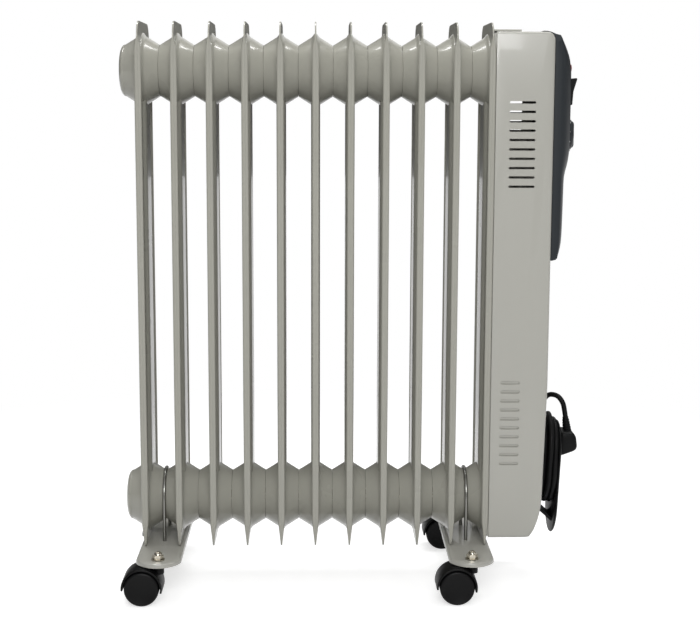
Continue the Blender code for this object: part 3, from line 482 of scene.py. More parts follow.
# ---- control casing ----
# One folded sheet of steel open towards the last fin, its near and far edges rolled to a soft round.
# Ten slots are punched through high on both sides; the ten low ones are louvres with a tongue each.
SHELL = 0.0014
EDGE_ROUND = 0.0034
END_CURVE_STEPS = 10
UPPER_SLOT = (0.0285, 0.0026)
UPPER_SLOT_TOP = 0.5405
UPPER_SLOT_PITCH = 0.01005
UPPER_SLOT_IN = 0.0290        # slot's middle from the casing's open side
LOWER_SLOT = (0.0216, 0.0036)
LOWER_SLOT_TOP = 0.2336
LOWER_SLOT_PITCH = 0.01015
LOWER_SLOT_IN = 0.0210
SLOT_ROWS = 10
PUNCH_OVER = 0.004            # of the slots' punch beyond the casing's sides
LEAN = 0.0035
LEAN_TOP = 0.230
LEAN_FOOT = 0.105
FOOT_CURVE_R = 0.095
TOP_CORNER = 0.009
FOOT_CORNER = 0.006
LOWER_EDGE_DROP = 0.0020      # of the folded sheet's lower edge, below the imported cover's

case_low, case_high = (Vector(corner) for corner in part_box("casing_cover"))
case_low.z -= LOWER_EDGE_DROP


def end_wall(height):
    """X of the casing's leaning end wall at a height."""
    if height >= LEAN_TOP:
        return case_high.x
    share = min(1.0, (LEAN_TOP - height) / (LEAN_TOP - LEAN_FOOT))
    below = max(0.0, LEAN_FOOT - height)
    return case_high.x - LEAN * share - below * below / (2 * FOOT_CURVE_R)


def arc_points(middle, radius, start, end, steps):
    """Points along an arc, its ends given in degrees."""
    turns = [math.radians(start + (end - start) * step / steps) for step in range(steps + 1)]
    return [(middle[0] + radius * math.cos(t), middle[1] + radius * math.sin(t)) for t in turns]


def case_line(inset):
    """Half of the casing's outline: bottom, end wall and top, from the open side and back to it."""
    low, high = case_low.z + inset, case_high.z - inset
    line = [(case_low.x, low), (end_wall(case_low.z) - inset - FOOT_CORNER, low),
            (end_wall(case_low.z + FOOT_CORNER * 0.3) - inset - FOOT_CORNER * 0.3, low + FOOT_CORNER * 0.12)]
    curve_foot = low + FOOT_CORNER * 0.5
    for step in range(1, END_CURVE_STEPS + 1):
        height = curve_foot + (LEAN_FOOT - curve_foot) * step / END_CURVE_STEPS
        line.append((end_wall(height) - inset, height))
    line.append((case_high.x - inset, LEAN_TOP))
    middle = (case_high.x - TOP_CORNER, case_high.z - TOP_CORNER)
    line += arc_points(middle, TOP_CORNER - inset, 0, 90, 8)
    line.append((case_low.x, high))
    return line


def shell_rows(wall):
    """Rows of points from the near side's flat, over its rounded edge, across the end, to the far side."""
    near, far = case_low.y + wall, case_high.y - wall
    radius = EDGE_ROUND - wall
    turns = [math.radians(angle) for angle in (0, 22, 45, 67, 90)]
    near_edge = [(near + radius * (1 - math.cos(turn)), math.sin(turn)) for turn in turns]
    far_edge = [(far - radius * (1 - math.cos(turn)), math.sin(turn)) for turn in reversed(turns)]
    return [[(x, y, z) for x, z in case_line(wall + radius * (1 - out))] for y, out in near_edge + far_edge]


def add_rows(work, rows):
    """Open rows of points, skinned one to the next."""
    made = [[work.verts.new(point) for point in row] for row in rows]
    for first, second in zip(made, made[1:]):
        for i in range(len(first) - 1):
            work.faces.new((first[i], first[i + 1], second[i + 1], second[i]))
    return made


def prism(outline, low, high, name):
    """A flat outline in x and z, given a thickness along y."""
    return lofted(name, [[(x, y, z) for x, z in outline] for y in (low, high)])


def cut_by(mesh, tools):
    """A mesh with the tools' mesh cut away from it."""
    body = bpy.data.objects.new("cut_body", mesh)
    tool = bpy.data.objects.new("cut_tool", tools)
    for item in (body, tool):
        scene.collection.objects.link(item)
    modifier = body.modifiers.new("cut", "BOOLEAN")
    modifier.operation = "DIFFERENCE"
    modifier.solver = "EXACT"
    modifier.object = tool
    bpy.context.view_layer.update()
    made = bpy.data.meshes.new_from_object(body.evaluated_get(bpy.context.evaluated_depsgraph_get()))
    bpy.data.objects.remove(body)
    bpy.data.objects.remove(tool)
    return made


def together(meshes, name):
    """Several meshes as one."""
    work = bmesh.new()
    for mesh in meshes:
        work.from_mesh(mesh)
    made = bpy.data.meshes.new(name)
    work.to_mesh(made)
    work.free()
    return made


def slot_outline(x, z, size):
    """A slot with round ends about a point, its size given as length and height."""
    half, radius = size[0] / 2 - size[1] / 2, size[1] / 2
    return (arc_points((x + half, z), radius, -90, 90, 4) + arc_points((x - half, z), radius, 90, 270, 4))


work = bmesh.new()
outer = add_rows(work, shell_rows(0.0))
inner = add_rows(work, shell_rows(SHELL))
for rows in (outer, inner):
    for row in (rows[0], rows[-1]):
        work.faces.new(row)
rim_outer = [row[0] for row in outer] + [row[-1] for row in reversed(outer)]
rim_inner = [row[0] for row in inner] + [row[-1] for row in reversed(inner)]
for i in range(len(rim_outer)):
    j = (i + 1) % len(rim_outer)
    work.faces.new((rim_outer[i], rim_outer[j], rim_inner[j], rim_inner[i]))
shell = bare_mesh(work, "casing_shell")

slots = []
for rows_x, top, pitch, size in (
        (case_low.x + UPPER_SLOT_IN, UPPER_SLOT_TOP, UPPER_SLOT_PITCH, UPPER_SLOT),
        (case_low.x + LOWER_SLOT_IN, LOWER_SLOT_TOP, LOWER_SLOT_PITCH, LOWER_SLOT)):
    for number in range(SLOT_ROWS):
        outline = slot_outline(rows_x, top - number * pitch, size)
        slots.append(prism(outline, case_low.y - PUNCH_OVER, case_high.y + PUNCH_OVER, "slot"))
shell = cut_by(shell, together(slots, "slots"))

CASING_ENAMEL = coated("casing_enamel", (0.43, 0.425, 0.385), (0.41, 0.405, 0.365), 7, 520, 0.30, 0.05,
                       0.00008, 0.05, coat=0.35)
finished("casing_shell", shell, CASING_ENAMEL, "heater", ["casing_cover"])

# A tongue behind each low slot, bent in from its upper edge; one is drawn and set out down the side.
TONGUE_DEPTH = 0.0020
TONGUE_OVER = 0.0006           # beyond each end of its slot
TONGUE_BITE = 0.0003           # into the sheet that it is bent from
tongue = prism([(-0.0001, 0.0), (0.0, 0.0004), (TONGUE_DEPTH, -0.0050), (TONGUE_DEPTH - 0.0004, -0.0053)],
               -LOWER_SLOT[0] / 2 - TONGUE_OVER, LOWER_SLOT[0] / 2 + TONGUE_OVER, "tongue")
tongue.transform(Matrix.Rotation(math.pi / 2, 4, "Z"))

column = set_out(tongue, SLOT_ROWS, (0, 0, -LOWER_SLOT_PITCH), CASING_ENAMEL)
for name, y, turn in (("near", case_low.y + SHELL - TONGUE_BITE, 0),
                      ("far", case_high.y - SHELL + TONGUE_BITE, math.pi)):
    mesh = column.copy()
    mesh.transform(Matrix.Translation((case_low.x + LOWER_SLOT_IN, y, LOWER_SLOT_TOP + LOWER_SLOT[1] / 2))
                   @ Matrix.Rotation(turn, 4, "Z"))
    finished(f"louvre_tongues_{name}", mesh, None, "heater", [])

# A return flange behind the open edge closes the casing against the last fin's rolled edges.
RETURN_OUT = 0.0028
RETURN_IN = 0.0026
RETURN_SHEET = 0.0010
RETURN_OVERLAP = 0.0020
RETURN_SHORT = 0.0015          # of the casing's lower and upper edges
near_x, far_x = case_low.x - RETURN_OUT, case_low.x + RETURN_OVERLAP
foot_z, head_z = case_low.z + RETURN_SHORT, case_high.z - RETURN_SHORT
side_strip = [(near_x, foot_z), (far_x, foot_z), (far_x, head_z), (near_x, head_z)]
top_strip = [(near_x, head_z - RETURN_SHEET), (far_x, head_z - RETURN_SHEET),
             (far_x, head_z), (near_x, head_z)]
near_y, far_y = case_low.y + RETURN_IN, case_high.y - RETURN_IN
flange = together([prism(side_strip, near_y, near_y + RETURN_SHEET, "near"),
                   prism(side_strip, far_y - RETURN_SHEET, far_y, "far"),
                   prism(top_strip, near_y + RETURN_SHEET, far_y - RETURN_SHEET, "top")], "return_flange")
finished("return_flange", flange, CASING_ENAMEL, "heater", [])


def repaint(material, *names):
    """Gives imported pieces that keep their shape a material."""
    for name in names:
        nodes[name].data.materials.clear()
        nodes[name].data.materials.append(material)


repaint(CASING_ENAMEL, "casing_back", "casing_top_strap")


# ---- control panel ----
# An injection moulding in dark slate that clips over the casing's end and its top corner.
# Its flanks stand straight up from the casing and its face is crowned between them.
PANEL_HALF = 0.052
FLANK = 0.0068
CROWN_POWER = 2.0
# Heights above the floor of the face's line, and how far it stands from the casing's end.
FACE_LINE = [(0.3690, 0.0012), (0.3692, 0.0030), (0.3701, 0.0056), (0.3719, 0.0082), (0.3746, 0.0106),
             (0.3780, 0.0127), (0.3826, 0.0146), (0.3880, 0.0158), (0.3950, 0.0165), (0.4050, 0.0169),
             (0.4300, 0.0174), (0.4520, 0.0177), (0.4600, 0.0182),
             (0.4660, 0.0196), (0.4720, 0.0215), (0.4780, 0.0229), (0.4840, 0.0238), (0.4910, 0.0243),
             (0.5000, 0.0245), (0.5250, 0.0246), (0.5600, 0.0246), (0.5740, 0.0243), (0.5800, 0.0236),
             (0.5860, 0.0225), (0.5910, 0.0210), (0.5960, 0.0189), (0.6010, 0.0162), (0.6050, 0.0134),
             (0.6090, 0.0096), (0.6120, 0.0056), (0.6142, 0.0010), (0.6157, -0.0042), (0.6166, -0.0085),
             (0.6169, -0.0118)]
CLEAR = 0.0004
FACE_STAND = 0.0246           # of the face's middle from the casing's end
CROWN_STEPS = 22
DIAL_SEAT = 0.0120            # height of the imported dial, without its shaft
WELL_DEPTH = 0.0086
WINDOW_HALF = 0.0162
WINDOW_GAP = 0.0006


def seat_point(height, stand):
    """The point on the casing that a face point stands over: its end wall, corner or top."""
    middle = Vector((case_high.x - TOP_CORNER, 0, case_high.z - TOP_CORNER))
    if height <= middle.z:
        return Vector((case_high.x + CLEAR, 0, height))
    point = Vector((case_high.x + stand, 0, height))
    if point.x < middle.x:
        return Vector((point.x, 0, case_high.z + CLEAR))
    return middle + (point - middle).normalized() * (TOP_CORNER + CLEAR)


def panel_ring(height, stand):
    """Across the panel: up the near flank, over the crowned face, down the far flank and back behind."""
    seat = seat_point(height, stand)
    crest = Vector((case_high.x + stand, 0, height))
    rise = crest - seat
    flank = min(1.0, FLANK / rise.length) if rise.length > FLANK * 0.6 else 0.55
    ring = []
    for step in range(CROWN_STEPS + 1):
        turn = math.pi * step / CROWN_STEPS
        across = -math.cos(turn)
        share = abs(across)
        crown = max(0.0, 1 - share ** CROWN_POWER) ** (1 / CROWN_POWER)
        point = seat + rise * (flank + (1 - flank) * crown)
        point.y = PANEL_HALF * across
        ring.append(point)
    first = seat.copy()
    first.y = PANEL_HALF
    last = seat.copy()
    last.y = -PANEL_HALF
    return ring + [first, last]


panel = lofted("panel", [panel_ring(height, stand) for height, stand in FACE_LINE])

knob_low, knob_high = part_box("thermostat_knob")
knob_z = (knob_low.z + knob_high.z) / 2
knob_r = (knob_high.z - knob_low.z) / 2
face_x = case_high.x + FACE_STAND
well = turned("well", [(-WELL_DEPTH, 0.0), (-WELL_DEPTH, knob_r + 0.0012), (-0.0008, knob_r + 0.0012),
                       (0.0002, knob_r + 0.0024), (0.0100, knob_r + 0.0028), (0.0100, 0.0)], 64,
              Matrix.Translation((face_x, 0, knob_z)))
windows = []
for low, high in (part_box("rocker_switch_1"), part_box("rocker_switch_2")):
    foot_z, head_z = (low.z + high.z) / 2 - WINDOW_HALF, (low.z + high.z) / 2 + WINDOW_HALF
    near_y, far_y = low.y - WINDOW_GAP, high.y + WINDOW_GAP
    windows.append([[(x, near_y, foot_z), (x, far_y, foot_z), (x, far_y, head_z), (x, near_y, head_z)]
                    for x in (face_x - 0.0105, face_x + 0.010)])
panel = cut_by(panel, together([well, lofted("windows", *windows)], "panel_holes"))

SLATE = coated("slate_moulding", (0.022, 0.026, 0.030), (0.018, 0.022, 0.025), 18, 2600, 0.40, 0.10,
               0.00003, 0.15, mirror=0.3)
finished("panel_moulding", panel, SLATE, "heater", ["control_panel"], 40)


# ---- dial, rockers and lamp ----
# A turned dial with a moulded finger bar and a printed pointer, a ring of printed marks round it,
# two rocking switches side by side and the round lens of the pilot lamp above them.
DIAL_PROUD = 0.0014
RIB_COUNT = 36
RIB_DEPTH = 0.0005
dial_height = DIAL_SEAT + DIAL_PROUD
dial_x = knob_high.x - DIAL_SEAT
dial_line = [(0.0, 0.0), (0.0, knob_r - 0.0006), (0.0006, knob_r), (dial_height * 0.52, knob_r),
             (dial_height * 0.62, knob_r - 0.0006), (dial_height * 0.72, knob_r * 0.92),
             (dial_height * 0.81, knob_r * 0.82), (dial_height * 0.88, knob_r * 0.66),
             (dial_height * 0.92, knob_r * 0.42), (dial_height * 0.93, 0.0)]
dial = turned("dial", dial_line, 96, Matrix.Translation((dial_x, 0, knob_z)))
for vertex in dial.vertices:
    out = Vector((0, vertex.co.y, vertex.co.z - knob_z))
    depth = vertex.co.x - dial_x
    if out.length > knob_r - 0.0003 and 0.0004 < depth < dial_height * 0.60:
        turn = math.atan2(out.z, out.y)
        out = out.normalized() * (out.length - RIB_DEPTH * (0.5 + 0.5 * math.cos(RIB_COUNT * turn)))
        vertex.co.y, vertex.co.z = out.y, knob_z + out.z
# The finger bar's outline at each depth: depth, half width and half length.
bar_steps = [(dial_height * 0.62, 0.0040, knob_r * 0.86), (dial_height * 0.90, 0.0034, knob_r * 0.80),
             (dial_height * 0.97, 0.0028, knob_r * 0.74), (dial_height * 1.0, 0.0018, knob_r * 0.66)]
rings = []
for depth, half, reach in bar_steps:
    outline = (arc_points((0, reach - half), half, 0, 180, 10)
               + arc_points((0, -reach + half), half, 180, 360, 10))
    rings.append([(dial_x + depth, y, knob_z + z) for y, z in outline])
finger_bar = lofted("finger_bar", rings)
finished("dial", together([dial, finger_bar], "dial"), SLATE, "knob",
         ["thermostat_knob"], 38)

MARK_INK = coated("printed_white", (0.62, 0.62, 0.60), (0.55, 0.55, 0.53), 60, 900, 0.5, 0.1, 0.00002, 0.1)
POINTER_HALF = 0.0005
pointer_x, pointer_foot, pointer_head = dial_x + dial_height, knob_z + 0.0050, knob_z + knob_r * 0.62
pointer_corners = ((-POINTER_HALF, pointer_foot), (POINTER_HALF, pointer_foot),
                   (POINTER_HALF, pointer_head), (-POINTER_HALF, pointer_head))
pointer = lofted("pointer", [[(pointer_x + x, y, z) for y, z in pointer_corners] for x in (-0.0002, 0.00005)])
finished("dial_pointer", pointer, MARK_INK, "knob", [])

MARKS = 11
MARK_SWEEP = 270
MARK_HALF = 0.00035
MARK_GAP = 0.0040
marks = []
for number in range(MARKS):
    turn = math.radians(90 + MARK_SWEEP / 2 - MARK_SWEEP * number / (MARKS - 1))
    length = 0.0030 if number % 5 == 0 else 0.0018
    along, across = Vector((0, math.cos(turn), math.sin(turn))), Vector((0, -math.sin(turn), math.cos(turn)))
    middle = Vector((0, 0, knob_z))
    reach = knob_r + MARK_GAP
    spread = abs(along.y) * (reach + length) / PANEL_HALF
    mark_x = face_x - (FACE_STAND - FLANK) * (1 - math.sqrt(1 - spread ** 2))
    corners = [middle + along * (reach + a * length) + across * b for a, b in
               ((0, -MARK_HALF), (1, -MARK_HALF), (1, MARK_HALF), (0, MARK_HALF))]
    marks.append([[corner + Vector((mark_x + x, 0, 0)) for corner in corners] for x in (-0.0004, 0.00045)])
finished("dial_marks", lofted("marks", *marks), MARK_INK, "heater", [])

BLACK_MOULDING = coated("black_moulding", (0.0042, 0.0044, 0.0048), (0.0034, 0.0035, 0.0038), 24, 1900, 0.46,
                        0.10, 0.00003, 0.2, mirror=0.15)
repaint(BLACK_MOULDING, "rocker_switch_1", "rocker_switch_2", "switch_body")

lens_low, lens_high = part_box("pilot_lamp_lens")
lens_z = (lens_low.z + lens_high.z) / 2
lens_r = (lens_high.z - lens_low.z) / 2
lens_line = [(lens_low.x, 0.0), (lens_low.x, lens_r * 0.96), (lens_high.x - 0.0024, lens_r * 0.96),
             (lens_high.x - 0.0020, lens_r), (lens_high.x - 0.0014, lens_r * 0.97),
             (lens_high.x - 0.0007, lens_r * 0.82), (lens_high.x - 0.0002, lens_r * 0.50), (lens_high.x, 0.0)]
lens = turned("lens", lens_line, 48, Matrix.Translation((0, 0, lens_z)))
LENS_RED = coated("lens_red", (0.30, 0.012, 0.008), (0.24, 0.008, 0.006), 50, 1200, 0.08, 0.04, 0.00002, 0.05,
                  coat=0.6)
finished("lamp_lens", lens, LENS_RED, "heater", ["pilot_lamp_lens"])


# ---- cord store ----
# A black moulding screwed to the casing's end: an upright face plate, and the hub behind it that the
# cord is wound on. A short shelf below keeps the cord off the casing, and two holes park the plug.
STORE_PLACE = Vector((0.2381464, 0.0, 0.137))
STORE_TILT = math.radians(2.75)
PLATE_HALF = 0.036
PLATE_TOP = 0.043
PLATE_BOTTOM = -0.088
HUB_R = 0.026
HUB_RISE = 0.0144
STRAIGHT = 0.0144
PIN_HEIGHT = 0.0175
PIN_APART = 0.019
store = Matrix.Translation(STORE_PLACE) @ Matrix.Rotation(STORE_TILT, 4, "Y")


def stadium(inset, radius, low, high, steps=28):
    """Upright outline with round ends, as y and z, given the height of each end."""
    round_r = radius - inset
    return (arc_points((0, high - radius), round_r, 0, 180, steps)
            + arc_points((0, low + radius), round_r, 180, 360, steps))


PLATE_LINE = [(0.0, 0.0016), (0.0004, 0.0006), (0.0012, 0.0), (0.0021, 0.0003), (0.0028, 0.0012),
              (0.0032, 0.0026), (0.0031, 0.0040), (0.0023, 0.0056), (0.0022, 0.0090)]
plate = lofted("face_plate", [[(x, y, z) for y, z in stadium(inset, PLATE_HALF, PLATE_BOTTOM, PLATE_TOP)]
                              for x, inset in PLATE_LINE])


def round_bar(radius, start, end, place, steps=24):
    """A plain round bar along place's own x: a shaft, or what a hole takes away."""
    return turned("bar", [(start, 0.0), (start, radius), (end, radius), (end, 0.0)], steps, place)


PIN_HOLE_R = 0.0028
plate = cut_by(plate, together([round_bar(PIN_HOLE_R, -0.002, 0.006,
                                          Matrix.Translation((0, side * PIN_APART / 2, PIN_HEIGHT)))
                                for side in (-1, 1)], "pin_holes"))
hub = lofted("hub", [[(x, y, z) for y, z in stadium(0.0, HUB_R, -HUB_RISE - HUB_R, HUB_RISE + HUB_R)]
                     for x in (-0.0183, 0.0005)])
SHELF_HALF = 0.018
SHELF_SIDE = [(0.001, -0.073), (0.001, -0.069), (-0.0165, -0.0545), (-0.0165, -0.0585)]
shelf = lofted("shelf", [[(x, y, z) for x, z in SHELF_SIDE] for y in (-SHELF_HALF, SHELF_HALF)])
moulding = together([plate, hub, shelf], "cord_store")
moulding.transform(store)
finished("cord_store_moulding", moulding, BLACK_MOULDING, "heater", ["cord_store"])
repaint(BLACK_MOULDING, "cord_gland")


# ---- cord ----
# Round black rubber cord, 1.2 m long: it leaves the casing below the hub through a short sleeve, is
# wound three times round it and once more over those turns, then loops over to the parked plug.
CORD_R = 0.0029
TURN_X = [-0.0032, -0.00905, -0.0149]       # middles of the three columns of turns
INNER_TURN = 0.029225
OUTER_TURN = 0.035075
LEAD_FOOT = -0.0584
TURN_COUNT = 4
TURN_STEPS = 56
GUARD_END = Vector((0.0105, 0.0, 0.04696))


def wound(turn):
    """Column and radius of the winding after so many turns from the foot of the far side."""
    number, part = int(turn), turn % 1
    x, radius = TURN_X[max(0, 2 - number)], INNER_TURN
    if number < 2:
        x += (TURN_X[1 - number] - x) * ramp(part, 0.66, 1.0)
    elif number == 2:
        radius += (OUTER_TURN - INNER_TURN) * ramp(part, 0.34, 0.62)
    else:
        radius = OUTER_TURN
        x = TURN_X[0] + (TURN_X[1] - TURN_X[0]) * ramp(turn - 3, 0.0, 0.34)
    return x, radius


def turn_points(first, last, steps):
    """Points of the winding, spaced evenly in share of a turn."""
    points = []
    count = round((last - first) * steps)
    for step in range(count + 1):
        turn = first + (last - first) * step / count
        x, radius = wound(turn)
        half_turn = math.pi * radius
        whole = 2 * half_turn + 4 * STRAIGHT
        along = (turn % 1) * whole
        if along < 2 * STRAIGHT:
            points.append((x, radius, -STRAIGHT + along))
        elif along < 2 * STRAIGHT + half_turn:
            angle = (along - 2 * STRAIGHT) / radius
            points.append((x, radius * math.cos(angle), STRAIGHT + radius * math.sin(angle)))
        elif along < 4 * STRAIGHT + half_turn:
            points.append((x, -radius, STRAIGHT - (along - 2 * STRAIGHT - half_turn)))
        else:
            angle = (along - 4 * STRAIGHT - half_turn) / radius
            points.append((x, -radius * math.cos(angle), -STRAIGHT - radius * math.sin(angle)))
    return [Vector(point) for point in points]


def smooth_line(points, steps):
    """A line through the points, rounded between them."""
    line = []
    for i in range(len(points) - 1):
        before = points[max(0, i - 1)]
        after = points[min(len(points) - 1, i + 2)]
        first, last = points[i], points[i + 1]
        for step in range(steps):
            t = step / steps
            line.append(0.5 * (2 * first + (last - before) * t
                               + (2 * before - 5 * first + 4 * last - after) * t * t
                               + (3 * first - before - 3 * last + after) * t * t * t))
    return line + [points[-1]]


lead = [Vector((TURN_X[2], INNER_TURN, LEAD_FOOT - 0.004 + step * 0.0068)) for step in range(7)]
tail = smooth_line([Vector(point) for point in (
    (TURN_X[1], OUTER_TURN, -STRAIGHT), (TURN_X[1], OUTER_TURN, 0.010), (TURN_X[1], OUTER_TURN, 0.0350),
    (TURN_X[1] - 0.001, 0.0315, 0.0500), (TURN_X[1] - 0.002, 0.0240, 0.0620), (-0.0070, 0.0130, 0.0697),
    (0.0005, 0.0040, 0.0700), (0.0062, 0.0, 0.0635))] + [GUARD_END + Vector((-0.0013, 0, 0.0067)),
                                                        GUARD_END - Vector((-0.0010, 0, 0.0050))], 6)
route = lead + turn_points(0, TURN_COUNT, TURN_STEPS) + tail[1:]
curve = bpy.data.curves.new("cord", "CURVE")
curve.dimensions = "3D"
curve.bevel_depth = CORD_R
curve.bevel_resolution = 5
curve.use_fill_caps = True
spline = curve.splines.new("POLY")
spline.points.add(len(route) - 1)
for point, place in zip(spline.points, route):
    point.co = (*(store @ place), 1)
spline.use_smooth = True
CORD_BLACK = coated("cord_rubber", (0.0036, 0.0037, 0.0040), (0.0028, 0.0029, 0.0031), 30, 1500, 0.50, 0.10,
                    0.00003, 0.2, mirror=0.15)
curve.materials.append(CORD_BLACK)
cord = bpy.data.objects.new("cord", curve)
scene.collection.objects.link(cord)
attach(cord, "heater")
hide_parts("cord_lead", "cord_winding", "cord_tail")

UPRIGHT = Matrix.Rotation(-math.pi / 2, 4, "Y")
SLEEVE_LINE = [(0.0, CORD_R), (0.0, 0.0056), (0.0016, 0.0056), (0.0030, 0.0050), (0.0050, 0.0050),
               (0.0060, 0.0044), (0.0080, 0.0046), (0.0090, 0.0041), (0.0110, 0.0043), (0.0120, 0.0038),
               (0.0140, 0.0040), (0.0150, 0.0036), (0.0205, 0.0033), (0.0210, CORD_R)]
sleeve = turned("cord_sleeve", SLEEVE_LINE, 32,
                store @ Matrix.Translation((TURN_X[2], INNER_TURN, LEAD_FOOT + 0.0002)) @ UPRIGHT)
finished("cord_sleeve", sleeve, CORD_BLACK, "heater", [])


# ---- plug ----
# An angled rubber plug moulded on the cord's end, its ribbed guard pointing up.
# Its two round pins are pushed through the store's face plate to park it.
PLUG_HALF = 0.017
PLUG_SEAT = 0.0036            # of its flat face, off the store's middle plane
PLUG_CORNER = 0.0062
GUARD_RIBS = 6
PLUG_SIDE = [(0.0035, 0.003), (0.025, 0.012), (0.0215, 0.031), (0.0035, 0.033)]
GUARD_FOOT = Vector((0.014, 0.0, 0.029))


def rounded_polygon(points, radius, steps=5):
    """The polygon with its corners cut back to short curves."""
    line = []
    for i, point in enumerate(points):
        corner = Vector(point)
        before, after = Vector(points[i - 1]), Vector(points[(i + 1) % len(points)])
        first = corner + (before - corner).normalized() * radius
        last = corner + (after - corner).normalized() * radius
        for step in range(steps + 1):
            t = step / steps
            line.append(first * (1 - t) ** 2 + corner * 2 * t * (1 - t) + last * t * t)
    return line


side_line = rounded_polygon(PLUG_SIDE, PLUG_CORNER)
middle = sum(side_line, Vector((0, 0))) / len(side_line)
rings = []
for y, share in ((0, 0.72), (0.0006, 0.84), (0.0018, 0.93), (0.0036, 0.985), (0.006, 1.0), (0.011, 1.0)):
    rings.append((-PLUG_HALF + y, share))
rings += [(-y, share) for y, share in reversed(rings)]
plug_body = lofted("plug_body", [[(middle.x + (point.x - middle.x) * share, y,
                                   middle.y + (point.y - middle.y) * share)
                                  for point in side_line] for y, share in rings])
for vertex in plug_body.vertices:
    vertex.co.x = max(vertex.co.x, PLUG_SEAT)
along = (GUARD_END - GUARD_FOOT).normalized()
across = Vector((0, 1, 0))
lean = Matrix((along, across, along.cross(across))).transposed().to_4x4()
guard_length = (GUARD_END - GUARD_FOOT).length
guard_line = [(-0.006, 0.0), (-0.006, 0.0056)]
for rib in range(GUARD_RIBS):
    start = -0.001 + rib * 0.0030
    radius = 0.0054 - rib * 0.00027
    guard_line += [(start, radius), (start + 0.0017, radius - 0.0001), (start + 0.0021, radius - 0.0008),
                   (start + 0.0027, radius - 0.0008)]
guard_line += [(guard_length, 0.0036), (guard_length, 0.0)]
guard = turned("guard", guard_line, 32, Matrix.Translation(GUARD_FOOT) @ lean)
plug = together([plug_body, guard], "plug")
plug.transform(store)
plug_piece = finished("plug_moulding", plug, CORD_BLACK, "heater", ["plug"])
PIN_METAL = coated("plated_pin", (0.62, 0.60, 0.54), (0.55, 0.53, 0.48), 40, 900, 0.22, 0.06, 0.00002, 0.1,
                   metallic=1.0)
repaint(PIN_METAL, "plug_pin_1", "plug_pin_2")


# ---- foot plates ----
# Two pressed plates painted as the casing, each across two fins, with a rim turned down all round,
# and drilled for the casters' stems and for the bent rod that clamps the plate to the lower collars.
FOOT_OFF = 0.171
STEM_OFF = 0.102
FOOT_TOP = 0.0472
FOOT_BOTTOM = 0.0452
LIP_BOTTOM = 0.0422
FOOT_HALF = 0.0245
FOOT_REACH = 0.118
BOW = 0.020
ROD_LEG = 0.03067
ROD_R = 0.002
STEM_HOLE_R = 0.0043
ROD_HOLE_R = 0.0023


def foot_line(inset):
    """The plate's outline, drawn in by an inset: straight sides and bowed ends."""
    half, reach = FOOT_HALF - inset, FOOT_REACH - inset
    end = arc_points((0, 0), 1, 20, 160, 16)
    far = [(half * x / end[0][0], reach - BOW + BOW * (y - end[0][1]) / (1 - end[0][1])) for x, y in end]
    return far + [(-x, -y) for x, y in far]


feet = {"left": middle_fin - FOOT_OFF, "right": middle_fin + FOOT_OFF}
for name, foot_x in feet.items():
    foot = lofted("foot", [[(foot_x + x, y, z) for x, y in foot_line(inset)] for inset, z in (
        (0.0032, FOOT_TOP), (0.0017, FOOT_TOP - 0.0002), (0.0006, FOOT_TOP - 0.0008),
        (0.0001, FOOT_TOP - 0.0018), (0.0, FOOT_TOP - 0.0028), (0.0, LIP_BOTTOM + 0.0002),
        (0.0003, LIP_BOTTOM), (0.0015, LIP_BOTTOM), (0.0018, LIP_BOTTOM + 0.0003), (0.0020, FOOT_BOTTOM))])
    holes = [round_bar(radius, -0.01, 0.01, Matrix.Translation((foot_x, y, FOOT_TOP)) @ UPRIGHT)
             for y, radius in ((STEM_OFF, STEM_HOLE_R), (-STEM_OFF, STEM_HOLE_R),
                               (ROD_LEG, ROD_HOLE_R), (-ROD_LEG, ROD_HOLE_R))]
    finished(f"foot_{name}", cut_by(foot, together(holes, "holes")), CASING_ENAMEL, "heater",
             [f"foot_plate_{name}"])


# ---- bent rods ----
# A drawn steel rod bent over the groove between two lower collars, its ends through the foot plate
# and held below it by a zinc plated nut each.
ZINC = coated("zinc_plate", (0.60, 0.56, 0.47), (0.52, 0.48, 0.40), 70, 1100, 0.27, 0.08, 0.00003, 0.15,
              metallic=1.0)


def tube(name, line, radius, sides=16):
    """A round rod along a line that lies across the heater."""
    rings = []
    for i, point in enumerate(line):
        toward = (line[min(i + 1, len(line) - 1)] - line[max(i - 1, 0)]).normalized()
        out = Vector((1, 0, 0)).cross(toward)
        rings.append([point + Vector((1, 0, 0)) * radius * math.cos(2 * math.pi * k / sides)
                      + out * radius * math.sin(2 * math.pi * k / sides) for k in range(sides)])
    return lofted(name, rings)


STEEL = coated("drawn_steel", (0.32, 0.32, 0.30), (0.28, 0.28, 0.26), 20, 300, 0.30, 0.05, 0.00001, 0.05,
               metallic=1.0)
ROD_LEG_HEIGHTS = (0.0372, 0.050, 0.070)
for name, foot_x in feet.items():
    line = [Vector((foot_x, ROD_LEG, z)) for z in ROD_LEG_HEIGHTS]
    line += [Vector((foot_x, y, lower_axis + z)) for y, z in arc_points((0, 0), ROD_LEG, 0, 180, 32)]
    line += [Vector((foot_x, -ROD_LEG, z)) for z in reversed(ROD_LEG_HEIGHTS)]
    finished(f"bent_rod_{name}", tube("rod", line, ROD_R), STEEL, "heater", [f"ubolt_{name}"])
    repaint(ZINC, f"ubolt_nut_{name}_front", f"ubolt_nut_{name}_rear")


